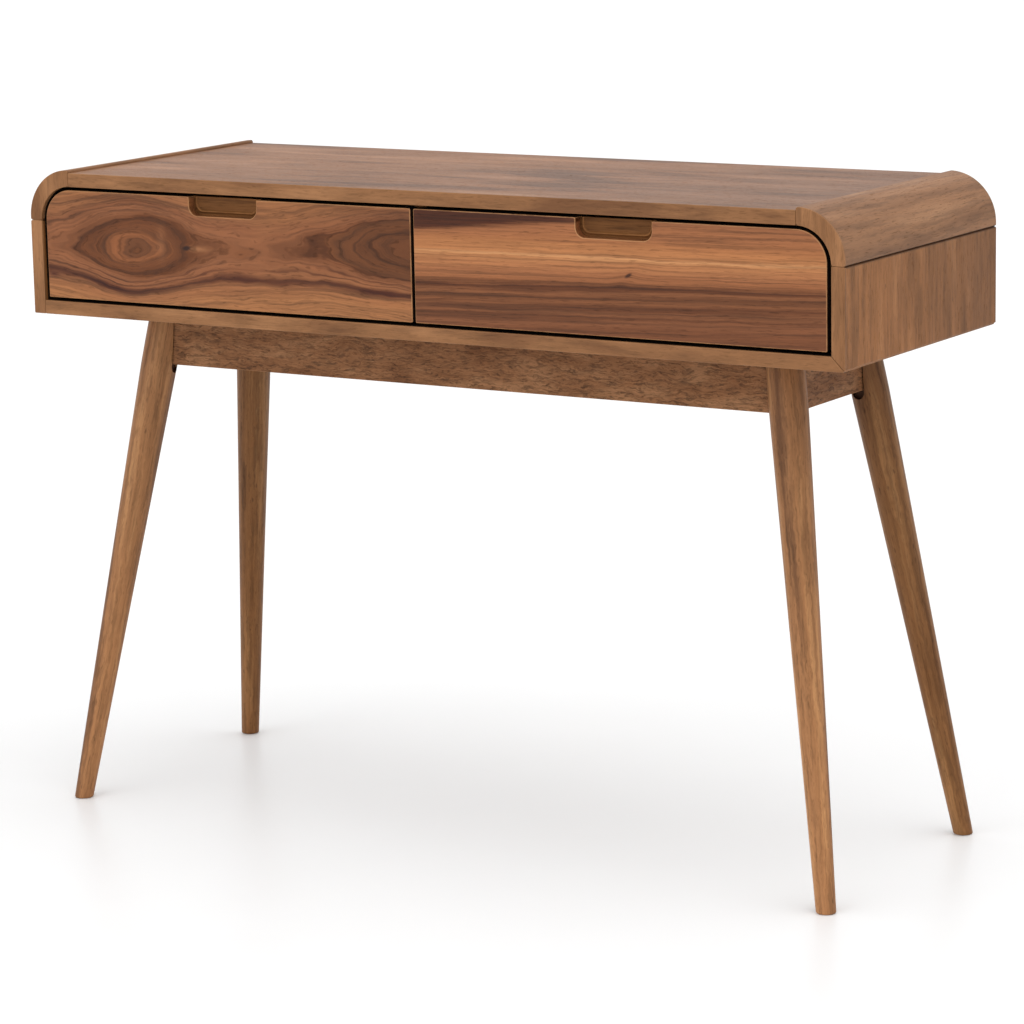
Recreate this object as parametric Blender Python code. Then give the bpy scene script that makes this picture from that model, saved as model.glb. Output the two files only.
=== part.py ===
"""Console table: a round-cornered walnut case with two drawers on a splayed, round-legged base.

Frame: metres, +Z up, +X along the length, the front faces -Y. The origin lies on the floor under the
middle of the case. Every board, leg, rail, slide member and fastener is an object of its own.
"""

import math

import bmesh
import bpy
from mathutils import Matrix, Vector

# ---------------------------------------------------------------- driving dimensions
LENGTH = 1.200            # case, end to end
DEPTH = 0.420             # case, front edge to back edge
TOP_HEIGHT = 0.852        # floor to the upper face of the top panel
CASE_HEIGHT = 0.188       # underside of the case to the upper face of the top panel
BOARD = 0.018             # top, sides, bottom, divider and drawer fronts
BACK_BOARD = 0.009
BACK_INSET = 0.001        # back panel behind the case's rear edges
SEAM = 0.0003             # left open between two glued, seated or resting faces

CORNER_INNER_R = 0.046
CORNER_OUTER_R = 0.063
LIP_RISE = 0.0038         # crest of a corner piece above the top panel
LIP_ARRIS_R = 0.003
GROOVE_HALF_WIDTH = 0.0015
GROOVE_DEPTH = 0.002

FRONT_SETBACK = 0.002     # drawer fronts behind the case's front edges
GAP_SIDE = 0.0065         # drawer front to case side
GAP_TOP = 0.0045
GAP_BOTTOM = 0.0045
GAP_MIDDLE = 0.0045       # between the two drawer fronts
FRONT_CORNER_R = 0.040
DIVIDER_SETBACK = 0.003   # divider behind the drawer fronts

PULL_WIDTH = 0.106
PULL_DROP = 0.0245        # finger notch, below the drawer front's upper edge
PULL_CORNER_R = 0.009
PULL_RECESS = 0.012       # front face to the backing plate
PULL_LAP = 0.012          # backing plate beyond the notch on each side and below

BOX_BOARD = 0.012
BOX_FLOOR = 0.006
BOX_GROOVE = 0.005        # depth of the groove that holds the drawer's floor
BOX_FLOOR_RISE = 0.008    # floor above the box's lower edge
BOX_LIFT = 0.010          # box above the case bottom
BOX_TOP_CLEARANCE = 0.032
BOX_REAR_CLEARANCE = 0.0347

SLIDE_HEIGHT = 0.045
SLIDE_THICKNESS = 0.0127
SLIDE_SHEET = 0.0012
SLIDE_RUNNING_GAP = 0.0004
SLIDE_FRONT_INSET = 0.0027  # from the box's front end
SLIDE_REAR_INSET = 0.0023
SLIDE_WEB_STEP = 0.0027   # fixed member's web to the middle member's web, and on to the moving member's lips
SLIDE_LIP_STEP = 0.0015   # from the side of the slide to the middle member's lips, and on to the fixed one's

LEG_TOP_INSET_X = 0.138   # leg axis from the case end, at the underside
LEG_TOP_INSET_Y = 0.112
LEG_FOOT_INSET_X = 0.0355
LEG_FOOT_INSET_Y = 0.0155
LEG_FOOT_R = 0.0124
LEG_KNEE_R = 0.0241       # widest, at the rails' lower edge
LEG_HEAD_R = 0.0236
FOOT_ROUND = 0.0015

RAIL_HEIGHT = 0.074
RAIL_THICKNESS = 0.016
SLOT_NECK = 0.0015        # wood left between a leg's two slots at their lower ends
SLOT_CLEARANCE = 0.0008   # leg slot to each face of the rail
SLOT_DROP = 0.002         # straight stretch of the slot below the rail

BLOCK_THICKNESS = 0.020
BLOCK_HEIGHT = 0.050
BOLT_R = 0.004
BOLT_DEPTH = 0.009        # bolt past the leg's axis
WASHER_R = 0.011
WASHER_THICKNESS = 0.0016
NUT_R = 0.0075            # across corners, halved
NUT_HEIGHT = 0.0065
BOLT_TAIL = 0.003         # bolt beyond its nut
SCREW_R = 0.002
SCREW_HEAD_R = 0.0045
SCREW_HEAD_HEIGHT = 0.0028
SCREW_BITE = 0.012        # frame screw inside the case bottom
FRONT_SCREW_BITE = 0.008  # drawer screw inside the drawer front
FRONT_SCREW_SPREAD = 0.180
SCREW_OFFSET = 0.014      # frame screw beside the leg bolt
HOLE_CLEARANCE = 0.0003   # round a fastener's shank

EASE = 0.0006             # broken edges of the boards
OVERRUN = 0.018           # a cutting tool runs this far past what it cuts
LEG_SIDES = 40
HEAD_RINGS = 3            # above the knee
ARC_STEPS = 14            # in one arc
SMALL_ARC_STEPS = 6
FASTENER_SIDES = 16
HEXAGON = 6

# ---------------------------------------------------------------- derived dimensions
END_X = LENGTH / 2
FRONT_Y = -DEPTH / 2
BACK_Y = DEPTH / 2
UNDERSIDE = TOP_HEIGHT - CASE_HEIGHT
FLOOR_Z = UNDERSIDE + BOARD              # inside of the case, lower face
CEILING_Z = TOP_HEIGHT - BOARD           # inside of the case, upper face
INNER_X = END_X - BOARD
CORNER_X = INNER_X - CORNER_INNER_R      # seam between the top panel and a corner piece
CORNER_Z = CEILING_Z - CORNER_INNER_R    # seam between a corner piece and a side
CREST_Z = TOP_HEIGHT + LIP_RISE
BACK_FACE_Y = BACK_Y - BACK_INSET - BACK_BOARD

DRAWER_FACE_Y = FRONT_Y + FRONT_SETBACK
DRAWER_REAR_Y = DRAWER_FACE_Y + BOARD
DRAWER_INNER_X = GAP_MIDDLE / 2
DRAWER_OUTER_X = INNER_X - GAP_SIDE
DRAWER_LOW_Z = FLOOR_Z + GAP_BOTTOM
DRAWER_HIGH_Z = CEILING_Z - GAP_TOP
DRAWER_MID_X = (DRAWER_INNER_X + DRAWER_OUTER_X) / 2
PULL_LOW_Z = DRAWER_HIGH_Z - PULL_DROP

SLIDE_SPACE = SLIDE_THICKNESS + 2 * SEAM
BOX_OUTER_X = INNER_X - SLIDE_SPACE
BOX_INNER_X = BOARD / 2 + SLIDE_SPACE
BOX_Y = (DRAWER_REAR_Y + SEAM, BACK_FACE_Y - BOX_REAR_CLEARANCE)
BOX_Z = (FLOOR_Z + BOX_LIFT, CEILING_Z - BOX_TOP_CLEARANCE)
BOX_MID_Z = sum(BOX_Z) / 2
SLIDE_Y = (BOX_Y[0] + SLIDE_FRONT_INSET, BOX_Y[1] - SLIDE_REAR_INSET)

BASE_TOP = UNDERSIDE - SEAM
RAIL_LOW_Z = UNDERSIDE - RAIL_HEIGHT
RAIL_MID_Z = (UNDERSIDE + RAIL_LOW_Z) / 2
LEG_TOP = Vector((END_X - LEG_TOP_INSET_X, BACK_Y - LEG_TOP_INSET_Y, UNDERSIDE))
LEG_FOOT = Vector((END_X - LEG_FOOT_INSET_X, BACK_Y - LEG_FOOT_INSET_Y, 0.0))
LEG_SPREAD = (LEG_FOOT - LEG_TOP).to_2d()
LEG_LEAN = math.hypot(LEG_SPREAD.length, UNDERSIDE) / UNDERSIDE  # length of a leg for each unit of height

SIDES = {"left": -1, "right": 1}
ENDS = {"front": -1, "back": 1}
MITRED_END = "right"      # the other end of the bottom panel is butted against its side


# ---------------------------------------------------------------- helpers
def clear_scene():
    """Empty the file of objects, so that a second run starts afresh."""
    for thing in list(bpy.data.objects):
        bpy.data.objects.remove(thing, do_unlink=True)


def finish(name, colour, roughness, metallic=0.0):
    """Return a Principled material."""
    material = bpy.data.materials.new(name)
    material.use_nodes = True
    shader = material.node_tree.nodes["Principled BSDF"]
    shader.inputs["Base Color"].default_value = (*colour, 1.0)
    shader.inputs["Roughness"].default_value = roughness
    shader.inputs["Metallic"].default_value = metallic
    return material


def empty(name, place):
    """Return an empty that carries a sub-assembly."""
    holder = bpy.data.objects.new(name, None)
    holder.empty_display_size = 0.05
    holder.location = place
    bpy.context.collection.objects.link(holder)
    return holder


def mesh_object(name, bm, material, parent=None, smooth=False):
    """Turn a bmesh in world coordinates into an object whose origin is the middle of its box."""
    bmesh.ops.recalc_face_normals(bm, faces=bm.faces)
    low = Vector([min(v.co[i] for v in bm.verts) for i in range(3)])
    high = Vector([max(v.co[i] for v in bm.verts) for i in range(3)])
    middle = (low + high) / 2
    bmesh.ops.translate(bm, verts=bm.verts, vec=-middle)
    mesh = bpy.data.meshes.new(name)
    bm.to_mesh(mesh)
    bm.free()
    if smooth:
        mesh.shade_smooth()
        mesh.set_sharp_from_angle(angle=math.radians(35))
    thing = bpy.data.objects.new(name, mesh)
    bpy.context.collection.objects.link(thing)
    thing.location = middle
    if material is not None:
        mesh.materials.append(material)
    if parent is not None:
        thing.parent = parent
        thing.location = middle - parent.location
    return thing


def at(value, u, v):
    """Read an end of a prism, which is a number or a function of the outline's own coordinates."""
    return value(u, v) if callable(value) else value


def prism_mesh(outline, axis, near, far):
    """Return a bmesh of an outline drawn across an axis and carried from near to far along it.

    The outline's coordinates are the two axes other than the given one, in X, Y, Z order.
    """
    others = [i for i in range(3) if i != "XYZ".index(axis)]
    bm = bmesh.new()
    rings = []
    for end in (near, far):
        ring = []
        for u, v in outline:
            point = Vector((0.0, 0.0, 0.0))
            point[others[0]] = u
            point[others[1]] = v
            point["XYZ".index(axis)] = at(end, u, v)
            ring.append(bm.verts.new(point))
        rings.append(ring)
        bm.faces.new(ring)
    for i, first in enumerate(rings[0]):
        j = (i + 1) % len(outline)
        bm.faces.new((first, rings[0][j], rings[1][j], rings[1][i]))
    return bm


def ease(thing, width=EASE):
    """Break a board's edges."""
    bevel = thing.modifiers.new("ease", "BEVEL")
    bevel.width = width
    bevel.segments = 1
    bevel.limit_method = "ANGLE"
    bevel.angle_limit = math.radians(30)
    return thing


def prism(name, outline, axis, near, far, material, parent, eased=True, smooth=False):
    """Make a board from an outline."""
    thing = mesh_object(name, prism_mesh(outline, axis, near, far), material, parent, smooth)
    return ease(thing) if eased else thing


def box(name, x, y, z, material, parent, eased=True):
    """Make a rectangular board from its extents, given in either order."""
    low_x, high_x = sorted(x)
    outline = [(low_x, z[0]), (high_x, z[0]), (high_x, z[1]), (low_x, z[1])]
    return prism(name, outline, "Y", y[0], y[1], material, parent, eased)


def arc(cx, cy, radius, start, end, steps=ARC_STEPS):
    """Return points on an arc, angles in degrees, both ends included."""
    turns = [math.radians(start + (end - start) * i / steps) for i in range(steps + 1)]
    return [(cx + radius * math.cos(t), cy + radius * math.sin(t)) for t in turns]


def cylinder_mesh(radius, start, direction, length, sides=FASTENER_SIDES):
    """Return a bmesh of a cylinder that runs from a point along a direction."""
    bm = bmesh.new()
    turn = Vector(direction).to_track_quat("Z", "Y").to_matrix().to_4x4()
    place = Matrix.Translation(Vector(start)) @ turn @ Matrix.Translation((0, 0, length / 2))
    bmesh.ops.create_cone(bm, cap_ends=True, segments=sides, radius1=radius, radius2=radius,
                          depth=length, matrix=place)
    return bm


def boolean(thing, tool, operation):
    """Cut a tool from a thing, or join it on, and hide the tool."""
    modifier = thing.modifiers.new(tool.name, "BOOLEAN")
    modifier.operation = operation
    modifier.solver = "EXACT"
    modifier.object = tool
    tool.hide_render = True
    tool.display_type = "WIRE"


def cut(thing, bm, label):
    """Cut a bmesh from a thing."""
    boolean(thing, mesh_object(f"{thing.name}_{label}_cutter", bm, None), "DIFFERENCE")


def join(thing, bm, label):
    """Join a bmesh, which overlaps the thing clearly, onto it."""
    boolean(thing, mesh_object(f"{thing.name}_{label}_tool", bm, None), "UNION")


def drill(thing, radius, start, direction, length):
    """Drill a fastener's clearance hole."""
    label = f"hole_{len(thing.modifiers)}"
    cut(thing, cylinder_mesh(radius + HOLE_CLEARANCE, start, direction, length), label)


def mirrored(points, side):
    """Mirror an outline about the origin of its first coordinate."""
    return [(side * u, v) for u, v in points]


# ---------------------------------------------------------------- case
def corner_outline():
    """Return a right-hand corner piece: a quarter ring whose crest stands above the top panel."""
    outer_x = END_X - CORNER_OUTER_R
    outer_z = CREST_Z - CORNER_OUTER_R
    lip_x = CORNER_X + LIP_ARRIS_R
    start = math.degrees(math.acos((lip_x - outer_x) / CORNER_OUTER_R))
    groove_z = CORNER_Z + SEAM + GROOVE_HALF_WIDTH
    points = [(CORNER_X, CEILING_Z)]
    points += arc(lip_x, CREST_Z - LIP_ARRIS_R, LIP_ARRIS_R, 180, 90, SMALL_ARC_STEPS)
    points += arc(outer_x, outer_z, CORNER_OUTER_R, start, 0)[1:]
    points += [(END_X, groove_z), (END_X - GROOVE_DEPTH, CORNER_Z + SEAM), (INNER_X, CORNER_Z + SEAM)]
    points += arc(CORNER_X, CORNER_Z, CORNER_INNER_R, 0, 90)[1:-1]
    return points


def side_outline(mitred):
    """Return a right-hand side board, with a mitred or a square lower end."""
    groove_z = CORNER_Z - GROOVE_HALF_WIDTH
    inner_low = FLOOR_Z + SEAM if mitred else UNDERSIDE
    outer_low = UNDERSIDE + SEAM if mitred else UNDERSIDE
    return [(INNER_X, inner_low), (END_X, outer_low), (END_X, groove_z),
            (END_X - GROOVE_DEPTH, CORNER_Z), (INNER_X, CORNER_Z)]


def bottom_outline():
    """Return the bottom panel, mitred into one side and butted against the other."""
    butt_x = INNER_X - SEAM
    return [(-butt_x, UNDERSIDE), (END_X - SEAM, UNDERSIDE), (INNER_X - SEAM, FLOOR_Z), (-butt_x, FLOOR_Z)]


def back_outline():
    """Return the back panel: the case's opening less a seam all round."""
    reach = INNER_X - SEAM
    radius = CORNER_INNER_R - SEAM
    points = [(-reach, FLOOR_Z + SEAM), (reach, FLOOR_Z + SEAM)]
    points += arc(CORNER_X, CORNER_Z, radius, 0, 90)
    points += arc(-CORNER_X, CORNER_Z, radius, 90, 180)
    return points


def make_case(wood, parent):
    """Build the eight boards of the case; return the bottom panel, which the base is screwed to."""
    ends = (FRONT_Y, BACK_Y)
    box("case_top", (-CORNER_X + SEAM, CORNER_X - SEAM), ends, (CEILING_Z, TOP_HEIGHT), wood, parent)
    for name, side in SIDES.items():
        corner = mirrored(corner_outline(), side)
        prism(f"case_corner_{name}", corner, "Y", *ends, wood, parent, eased=False, smooth=True)
        board = mirrored(side_outline(name == MITRED_END), side)
        prism(f"case_side_{name}", board, "Y", *ends, wood, parent, eased=False)
    bottom = prism("case_bottom", bottom_outline(), "Y", *ends, wood, parent, False)
    prism("case_back", back_outline(), "Y", BACK_FACE_Y, BACK_FACE_Y + BACK_BOARD, wood, parent, False)
    box("case_divider", (-BOARD / 2, BOARD / 2), (DRAWER_REAR_Y + DIVIDER_SETBACK, BACK_FACE_Y - SEAM),
        (FLOOR_Z + SEAM, CEILING_Z - SEAM), wood, parent)
    return bottom


# ---------------------------------------------------------------- base
def axis_at(z):
    """Return how far out a leg's axis stands at a height, along X and along Y."""
    share = (UNDERSIDE - z) / UNDERSIDE
    point = LEG_TOP.lerp(LEG_FOOT, share)
    return point.x, point.y


RAIL_X, RAIL_Y = axis_at(RAIL_MID_Z)     # middle planes of the end rails and of the long rails
LEG_DRIFT = max(low - middle for low, middle in zip(axis_at(RAIL_LOW_Z), (RAIL_X, RAIL_Y)))
SLOT_HALF = RAIL_THICKNESS / 2 + SLOT_CLEARANCE
RAIL_END = LEG_DRIFT + SLOT_HALF + SLOT_NECK   # leg axis to rail end


def leg_radius(z):
    """Return a leg's radius: a straight taper to the knee, and a slight narrowing above it."""
    if z <= RAIL_LOW_Z:
        return LEG_FOOT_R + (LEG_KNEE_R - LEG_FOOT_R) * z / RAIL_LOW_Z
    return LEG_KNEE_R + (LEG_HEAD_R - LEG_KNEE_R) * ((z - RAIL_LOW_Z) / (BASE_TOP - RAIL_LOW_Z)) ** 2


def leg_mesh(sx, sy):
    """Return a round, tapered leg cut level at both ends; its level sections are ellipses."""
    along = Vector((LEG_SPREAD.x * sx, LEG_SPREAD.y * sy)).normalized()
    across = Vector((-along.y, along.x))
    above = [RAIL_LOW_Z + (BASE_TOP - RAIL_LOW_Z) * i / HEAD_RINGS for i in range(HEAD_RINGS + 1)]
    heights = [(0.0, -FOOT_ROUND), (FOOT_ROUND, 0.0)] + [(z, 0.0) for z in above]
    bm = bmesh.new()
    rings = []
    for z, inset in heights:
        x, y = axis_at(z)
        radius = leg_radius(z) + inset
        turns = [2 * math.pi * i / LEG_SIDES for i in range(LEG_SIDES)]
        spots = [along * (radius * LEG_LEAN * math.cos(t)) + across * (radius * math.sin(t)) for t in turns]
        rings.append([bm.verts.new((sx * x + p.x, sy * y + p.y, z)) for p in spots])
    for lower, upper in zip(rings, rings[1:]):
        for i in range(LEG_SIDES):
            j = (i + 1) % LEG_SIDES
            bm.faces.new((lower[i], lower[j], upper[j], upper[i]))
    bm.faces.new(rings[0])
    bm.faces.new(rings[-1])
    return bm


def slot_mesh(axis, sx, sy):
    """Return the cutter of a leg's slot: round below, open at the top, its floor along the leg's axis."""
    index, sign, centre = (0, sx, sy * RAIL_Y) if axis == "X" else (1, sy, sx * RAIL_X)
    top = UNDERSIDE + OVERRUN
    outline = arc(centre, RAIL_LOW_Z - SLOT_DROP, SLOT_HALF, 180, 360)
    outline += [(centre + SLOT_HALF, top), (centre - SLOT_HALF, top)]

    def end(inward):
        return lambda u, v: sign * (axis_at(v)[index] - inward)

    return prism_mesh(outline, axis, end(2 * LEG_KNEE_R), end(RAIL_END - SEAM))


def rail_outline(index):
    """Return a rail whose ends follow the splay of the legs; index 0 runs along X and 1 along Y."""
    low = axis_at(RAIL_LOW_Z)[index] - RAIL_END
    high = axis_at(BASE_TOP)[index] - RAIL_END
    return [(-low, RAIL_LOW_Z), (low, RAIL_LOW_Z), (high, BASE_TOP), (-high, BASE_TOP)]


def block_frame(sx, sy):
    """Return the point under which a corner's rails cross, and the inward and sideways directions there."""
    inward = Vector((-sx, -sy, 0.0)).normalized()
    sideways = Vector((0.0, 0.0, 1.0)).cross(inward)
    return Vector((sx * RAIL_X, sy * RAIL_Y, 0.0)), inward, sideways


def block_seat():
    """Return how far inward of the rails' crossing a corner block starts, clear of the leg at its top."""
    x, y = axis_at(BASE_TOP)
    return math.hypot(RAIL_X - x, RAIL_Y - y) + LEG_HEAD_R * LEG_LEAN + SEAM


BLOCK_NEAR = block_seat()
BLOCK_FAR = BLOCK_NEAR + BLOCK_THICKNESS


def make_block(name, sx, sy, wood, parent):
    """Make a corner block that fills the angle between two rails."""
    origin, inward, sideways = block_frame(sx, sy)
    rail_reach = RAIL_THICKNESS / 2 * math.sqrt(2) + SEAM * math.sqrt(2)
    corners = [(BLOCK_NEAR, -1), (BLOCK_NEAR, 1), (BLOCK_FAR, 1), (BLOCK_FAR, -1)]
    points = [origin + inward * s + sideways * side * (s - rail_reach) for s, side in corners]
    outline = [(p.x, p.y) for p in points]
    return prism(name, outline, "Z", BASE_TOP - BLOCK_HEIGHT, BASE_TOP, wood, parent)


def make_leg_bolt(name, sx, sy, steel, parent):
    """Make a leg bolt with its washer and nut, one fastened piece; return its start and its direction."""
    origin, inward, _ = block_frame(sx, sy)
    height = BASE_TOP - BLOCK_HEIGHT / 2
    x, y = axis_at(height)
    past = (Vector((sx * x, sy * y, 0.0)) - origin).dot(inward) - BOLT_DEPTH
    lift = Vector((0.0, 0.0, height))
    start = origin + inward * past + lift
    washer = origin + inward * (BLOCK_FAR + SEAM) + lift
    length = BLOCK_FAR + SEAM + WASHER_THICKNESS + NUT_HEIGHT + BOLT_TAIL - past
    bolt = mesh_object(name, cylinder_mesh(BOLT_R, start, inward, length), steel, parent, True)
    join(bolt, cylinder_mesh(WASHER_R, washer, inward, WASHER_THICKNESS), "washer")
    nut = washer + inward * WASHER_THICKNESS / 2
    join(bolt, cylinder_mesh(NUT_R, nut, inward, NUT_HEIGHT + WASHER_THICKNESS / 2, HEXAGON), "nut")
    return start, inward


def make_screw(name, head_face, direction, length, steel, parent):
    """Make a pan-head screw; head_face is where its head meets the wood, and it runs along direction."""
    way = Vector(direction).normalized()
    inside_head = head_face - way * SCREW_HEAD_HEIGHT / 2
    shank = cylinder_mesh(SCREW_R, inside_head, way, length + SCREW_HEAD_HEIGHT / 2)
    screw = mesh_object(name, shank, steel, parent, True)
    head_top = head_face - way * SCREW_HEAD_HEIGHT
    join(screw, cylinder_mesh(SCREW_HEAD_R, head_top, way, SCREW_HEAD_HEIGHT - SEAM), "head")
    return screw


def make_base(wood, block_wood, steel, case_bottom, parent):
    """Build the legs, rails, corner blocks and their fasteners."""
    half = RAIL_THICKNESS / 2
    for name, side in ENDS.items():
        prism(f"rail_{name}", rail_outline(0), "Y", side * RAIL_Y - half, side * RAIL_Y + half, wood, parent)
    for name, side in SIDES.items():
        prism(f"rail_{name}", rail_outline(1), "X", side * RAIL_X - half, side * RAIL_X + half, wood, parent)
    for end, sy in ENDS.items():
        for side, sx in SIDES.items():
            corner = f"{end}_{side}"
            leg = mesh_object(f"leg_{corner}", leg_mesh(sx, sy), wood, parent, True)
            cut(leg, slot_mesh("X", sx, sy), "long_slot")
            cut(leg, slot_mesh("Y", sx, sy), "end_slot")
            block = make_block(f"corner_block_{corner}", sx, sy, block_wood, parent)
            start, inward = make_leg_bolt(f"leg_bolt_{corner}", sx, sy, steel, parent)
            hole_start = start - inward * SEAM
            for piece in (leg, block):
                drill(piece, BOLT_R, hole_start, inward, 2 * BLOCK_FAR)
            origin, _, sideways = block_frame(sx, sy)
            foot = origin + inward * (BLOCK_NEAR + BLOCK_FAR) / 2 + sideways * SCREW_OFFSET
            foot.z = BASE_TOP - BLOCK_HEIGHT
            length = BLOCK_HEIGHT + SEAM + SCREW_BITE
            make_screw(f"frame_screw_{corner}", foot, (0, 0, 1), length, steel, parent)
            for piece in (block, case_bottom):
                drill(piece, SCREW_R, foot - Vector((0, 0, OVERRUN)), (0, 0, 1), length + OVERRUN + SEAM)


# ---------------------------------------------------------------- drawers
def notch_outline(grow, radius):
    """Return the right-hand drawer's finger notch, open above, grown on its three sides."""
    left = DRAWER_MID_X - PULL_WIDTH / 2 - grow
    right = DRAWER_MID_X + PULL_WIDTH / 2 + grow
    low = PULL_LOW_Z - grow
    points = arc(left + radius, low + radius, radius, 180, 270, SMALL_ARC_STEPS)
    points += arc(right - radius, low + radius, radius, 270, 360, SMALL_ARC_STEPS)
    return points + [(right, CEILING_Z), (left, CEILING_Z)]


def backing_outline():
    """Return the right-hand drawer's backing plate, which fills the rebate behind its notch."""
    points = notch_outline(PULL_LAP - SEAM, PULL_CORNER_R)
    return [(x, min(z, DRAWER_HIGH_Z)) for x, z in points]


def front_outline():
    """Return the right-hand drawer front: square but for the rounded upper outer corner."""
    points = [(DRAWER_INNER_X, DRAWER_LOW_Z), (DRAWER_OUTER_X, DRAWER_LOW_Z)]
    points += arc(DRAWER_OUTER_X - FRONT_CORNER_R, DRAWER_HIGH_Z - FRONT_CORNER_R, FRONT_CORNER_R, 0, 90)
    return points + [(DRAWER_INNER_X, DRAWER_HIGH_Z)]


def make_drawer_front(name, side, wood, plain_wood, parent):
    """Make a drawer front with its finger notch, and the plate behind the notch."""
    face = mirrored(front_outline(), side)
    front = prism(f"{name}_front", face, "Y", DRAWER_FACE_Y, DRAWER_REAR_Y, wood, parent)
    notch = mirrored(notch_outline(0.0, PULL_CORNER_R), side)
    cut(front, prism_mesh(notch, "Y", DRAWER_FACE_Y - OVERRUN, DRAWER_REAR_Y + OVERRUN), "notch")
    rebate = mirrored(notch_outline(PULL_LAP, PULL_CORNER_R + SEAM), side)
    plate_y = DRAWER_FACE_Y + PULL_RECESS
    cut(front, prism_mesh(rebate, "Y", plate_y - SEAM, DRAWER_REAR_Y + OVERRUN), "rebate")
    backing = mirrored(backing_outline(), side)
    prism(f"{name}_pull_backing", backing, "Y", plate_y, DRAWER_REAR_Y, plain_wood, parent, eased=False)
    return front


def make_drawer_box(name, side, plain_wood, parent):
    """Make the drawer's five-board box, its floor held in grooves; return its front board."""
    outer = side * BOX_OUTER_X
    inner = side * BOX_INNER_X
    near_y, far_y = BOX_Y
    boards = []
    for label, face, way in (("outer", outer, -side), ("inner", inner, side)):
        width = (face, face + way * BOX_BOARD)
        boards.append(box(f"{name}_box_{label}_side", width, BOX_Y, BOX_Z, plain_wood, parent, eased=False))
    between = (outer - side * (BOX_BOARD + SEAM), inner + side * (BOX_BOARD + SEAM))
    front = box(f"{name}_box_front", between, (near_y, near_y + BOX_BOARD), BOX_Z, plain_wood, parent, False)
    back = box(f"{name}_box_back", between, (far_y - BOX_BOARD, far_y), BOX_Z, plain_wood, parent, False)
    floor_z = (BOX_Z[0] + BOX_FLOOR_RISE, BOX_Z[0] + BOX_FLOOR_RISE + BOX_FLOOR)
    wall = BOX_BOARD - BOX_GROOVE
    groove_x = sorted((outer - side * wall, inner + side * wall))
    groove_y = (near_y + wall, far_y - wall)
    for board in boards + [front, back]:
        outline = [(groove_x[0], floor_z[0] - SEAM), (groove_x[1], floor_z[0] - SEAM),
                   (groove_x[1], floor_z[1] + SEAM), (groove_x[0], floor_z[1] + SEAM)]
        cut(board, prism_mesh(outline, "Y", *groove_y), "groove")
    floor_x = (groove_x[0] + SEAM, groove_x[1] - SEAM)
    floor_y = (groove_y[0] + SEAM, groove_y[1] - SEAM)
    box(f"{name}_box_floor", floor_x, floor_y, floor_z, plain_wood, parent, eased=False)
    return front


def make_drawer_screws(name, side, front, box_front, steel, parent):
    """Screw the drawer front to its box from inside the drawer."""
    face_y = BOX_Y[0] + BOX_BOARD
    length = BOX_BOARD + SEAM + FRONT_SCREW_BITE
    for number, way in enumerate((-1, 1), start=1):
        spot = Vector((side * DRAWER_MID_X + way * FRONT_SCREW_SPREAD, face_y, BOX_MID_Z))
        make_screw(f"{name}_screw_{number}", spot, (0, -1, 0), length, steel, parent)
        for board in (front, box_front):
            drill(board, SCREW_R, spot + Vector((0, OVERRUN, 0)), (0, -1, 0), length + OVERRUN + SEAM)


def channel_outline(web, lip, half_height):
    """Return a channel section: its web's outer face at one depth, its lips reaching to another."""
    way = 1 if lip > web else -1
    inside = web + way * SLIDE_SHEET
    low = half_height - SLIDE_SHEET
    return [(web, -half_height), (lip, -half_height), (lip, -low), (inside, -low),
            (inside, low), (lip, low), (lip, half_height), (web, half_height)]


def slide_sections():
    """Return the three nested channels of a slide: depth from the case wall, and height about its middle."""
    step = SLIDE_SHEET + SLIDE_RUNNING_GAP
    half = SLIDE_HEIGHT / 2
    near, far = SEAM, SEAM + SLIDE_THICKNESS
    return {
        "fixed": channel_outline(near, far - 2 * SLIDE_LIP_STEP, half),
        "middle": channel_outline(near + SLIDE_WEB_STEP, far - SLIDE_LIP_STEP, half - step),
        "moving": channel_outline(far, near + 2 * SLIDE_WEB_STEP, half - 2 * step),
    }


def make_slides(name, side, steel, parents):
    """Make the drawer's two telescopic slides, one on the case side and one on the divider."""
    walls = {"outer": (side * INNER_X, -side), "inner": (side * BOARD / 2, side)}
    for label, (wall_x, way) in walls.items():
        for member, section in slide_sections().items():
            outline = [(wall_x + way * depth, BOX_MID_Z + height) for depth, height in section]
            prism(f"{name}_{label}_slide_{member}", outline, "Y", *SLIDE_Y, steel, parents[member], False)


def make_drawer(side_name, woods, steel, case):
    """Build one drawer, its slides and its fasteners."""
    side = SIDES[side_name]
    name = f"drawer_{side_name}"
    carriage = empty(f"{name}_carriage", (side * DRAWER_MID_X, DRAWER_FACE_Y, BOX_MID_Z))
    middle = empty(f"{name}_slide_middles", (side * DRAWER_MID_X, SLIDE_Y[0], BOX_MID_Z))
    front = make_drawer_front(name, side, woods["front"], woods["plain"], carriage)
    box_front = make_drawer_box(name, side, woods["plain"], carriage)
    make_drawer_screws(name, side, front, box_front, steel, carriage)
    make_slides(name, side, steel, {"fixed": case, "middle": middle, "moving": carriage})


def main():
    """Build the table."""
    clear_scene()
    walnut = finish("walnut", (0.26, 0.13, 0.065), 0.42)
    figured = finish("figured_walnut", (0.24, 0.10, 0.055), 0.38)
    dark = finish("dark_walnut", (0.17, 0.09, 0.05), 0.55)
    plain = finish("plain_wood", (0.42, 0.27, 0.14), 0.6)
    zinc = finish("zinc_steel", (0.62, 0.62, 0.63), 0.35, 1.0)
    case = empty("case", (0.0, 0.0, UNDERSIDE))
    base = empty("base", (0.0, 0.0, 0.0))
    bottom = make_case(walnut, case)
    make_base(dark, plain, zinc, bottom, base)
    for side_name in SIDES:
        make_drawer(side_name, {"front": figured, "plain": plain}, zinc, case)


main()
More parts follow.
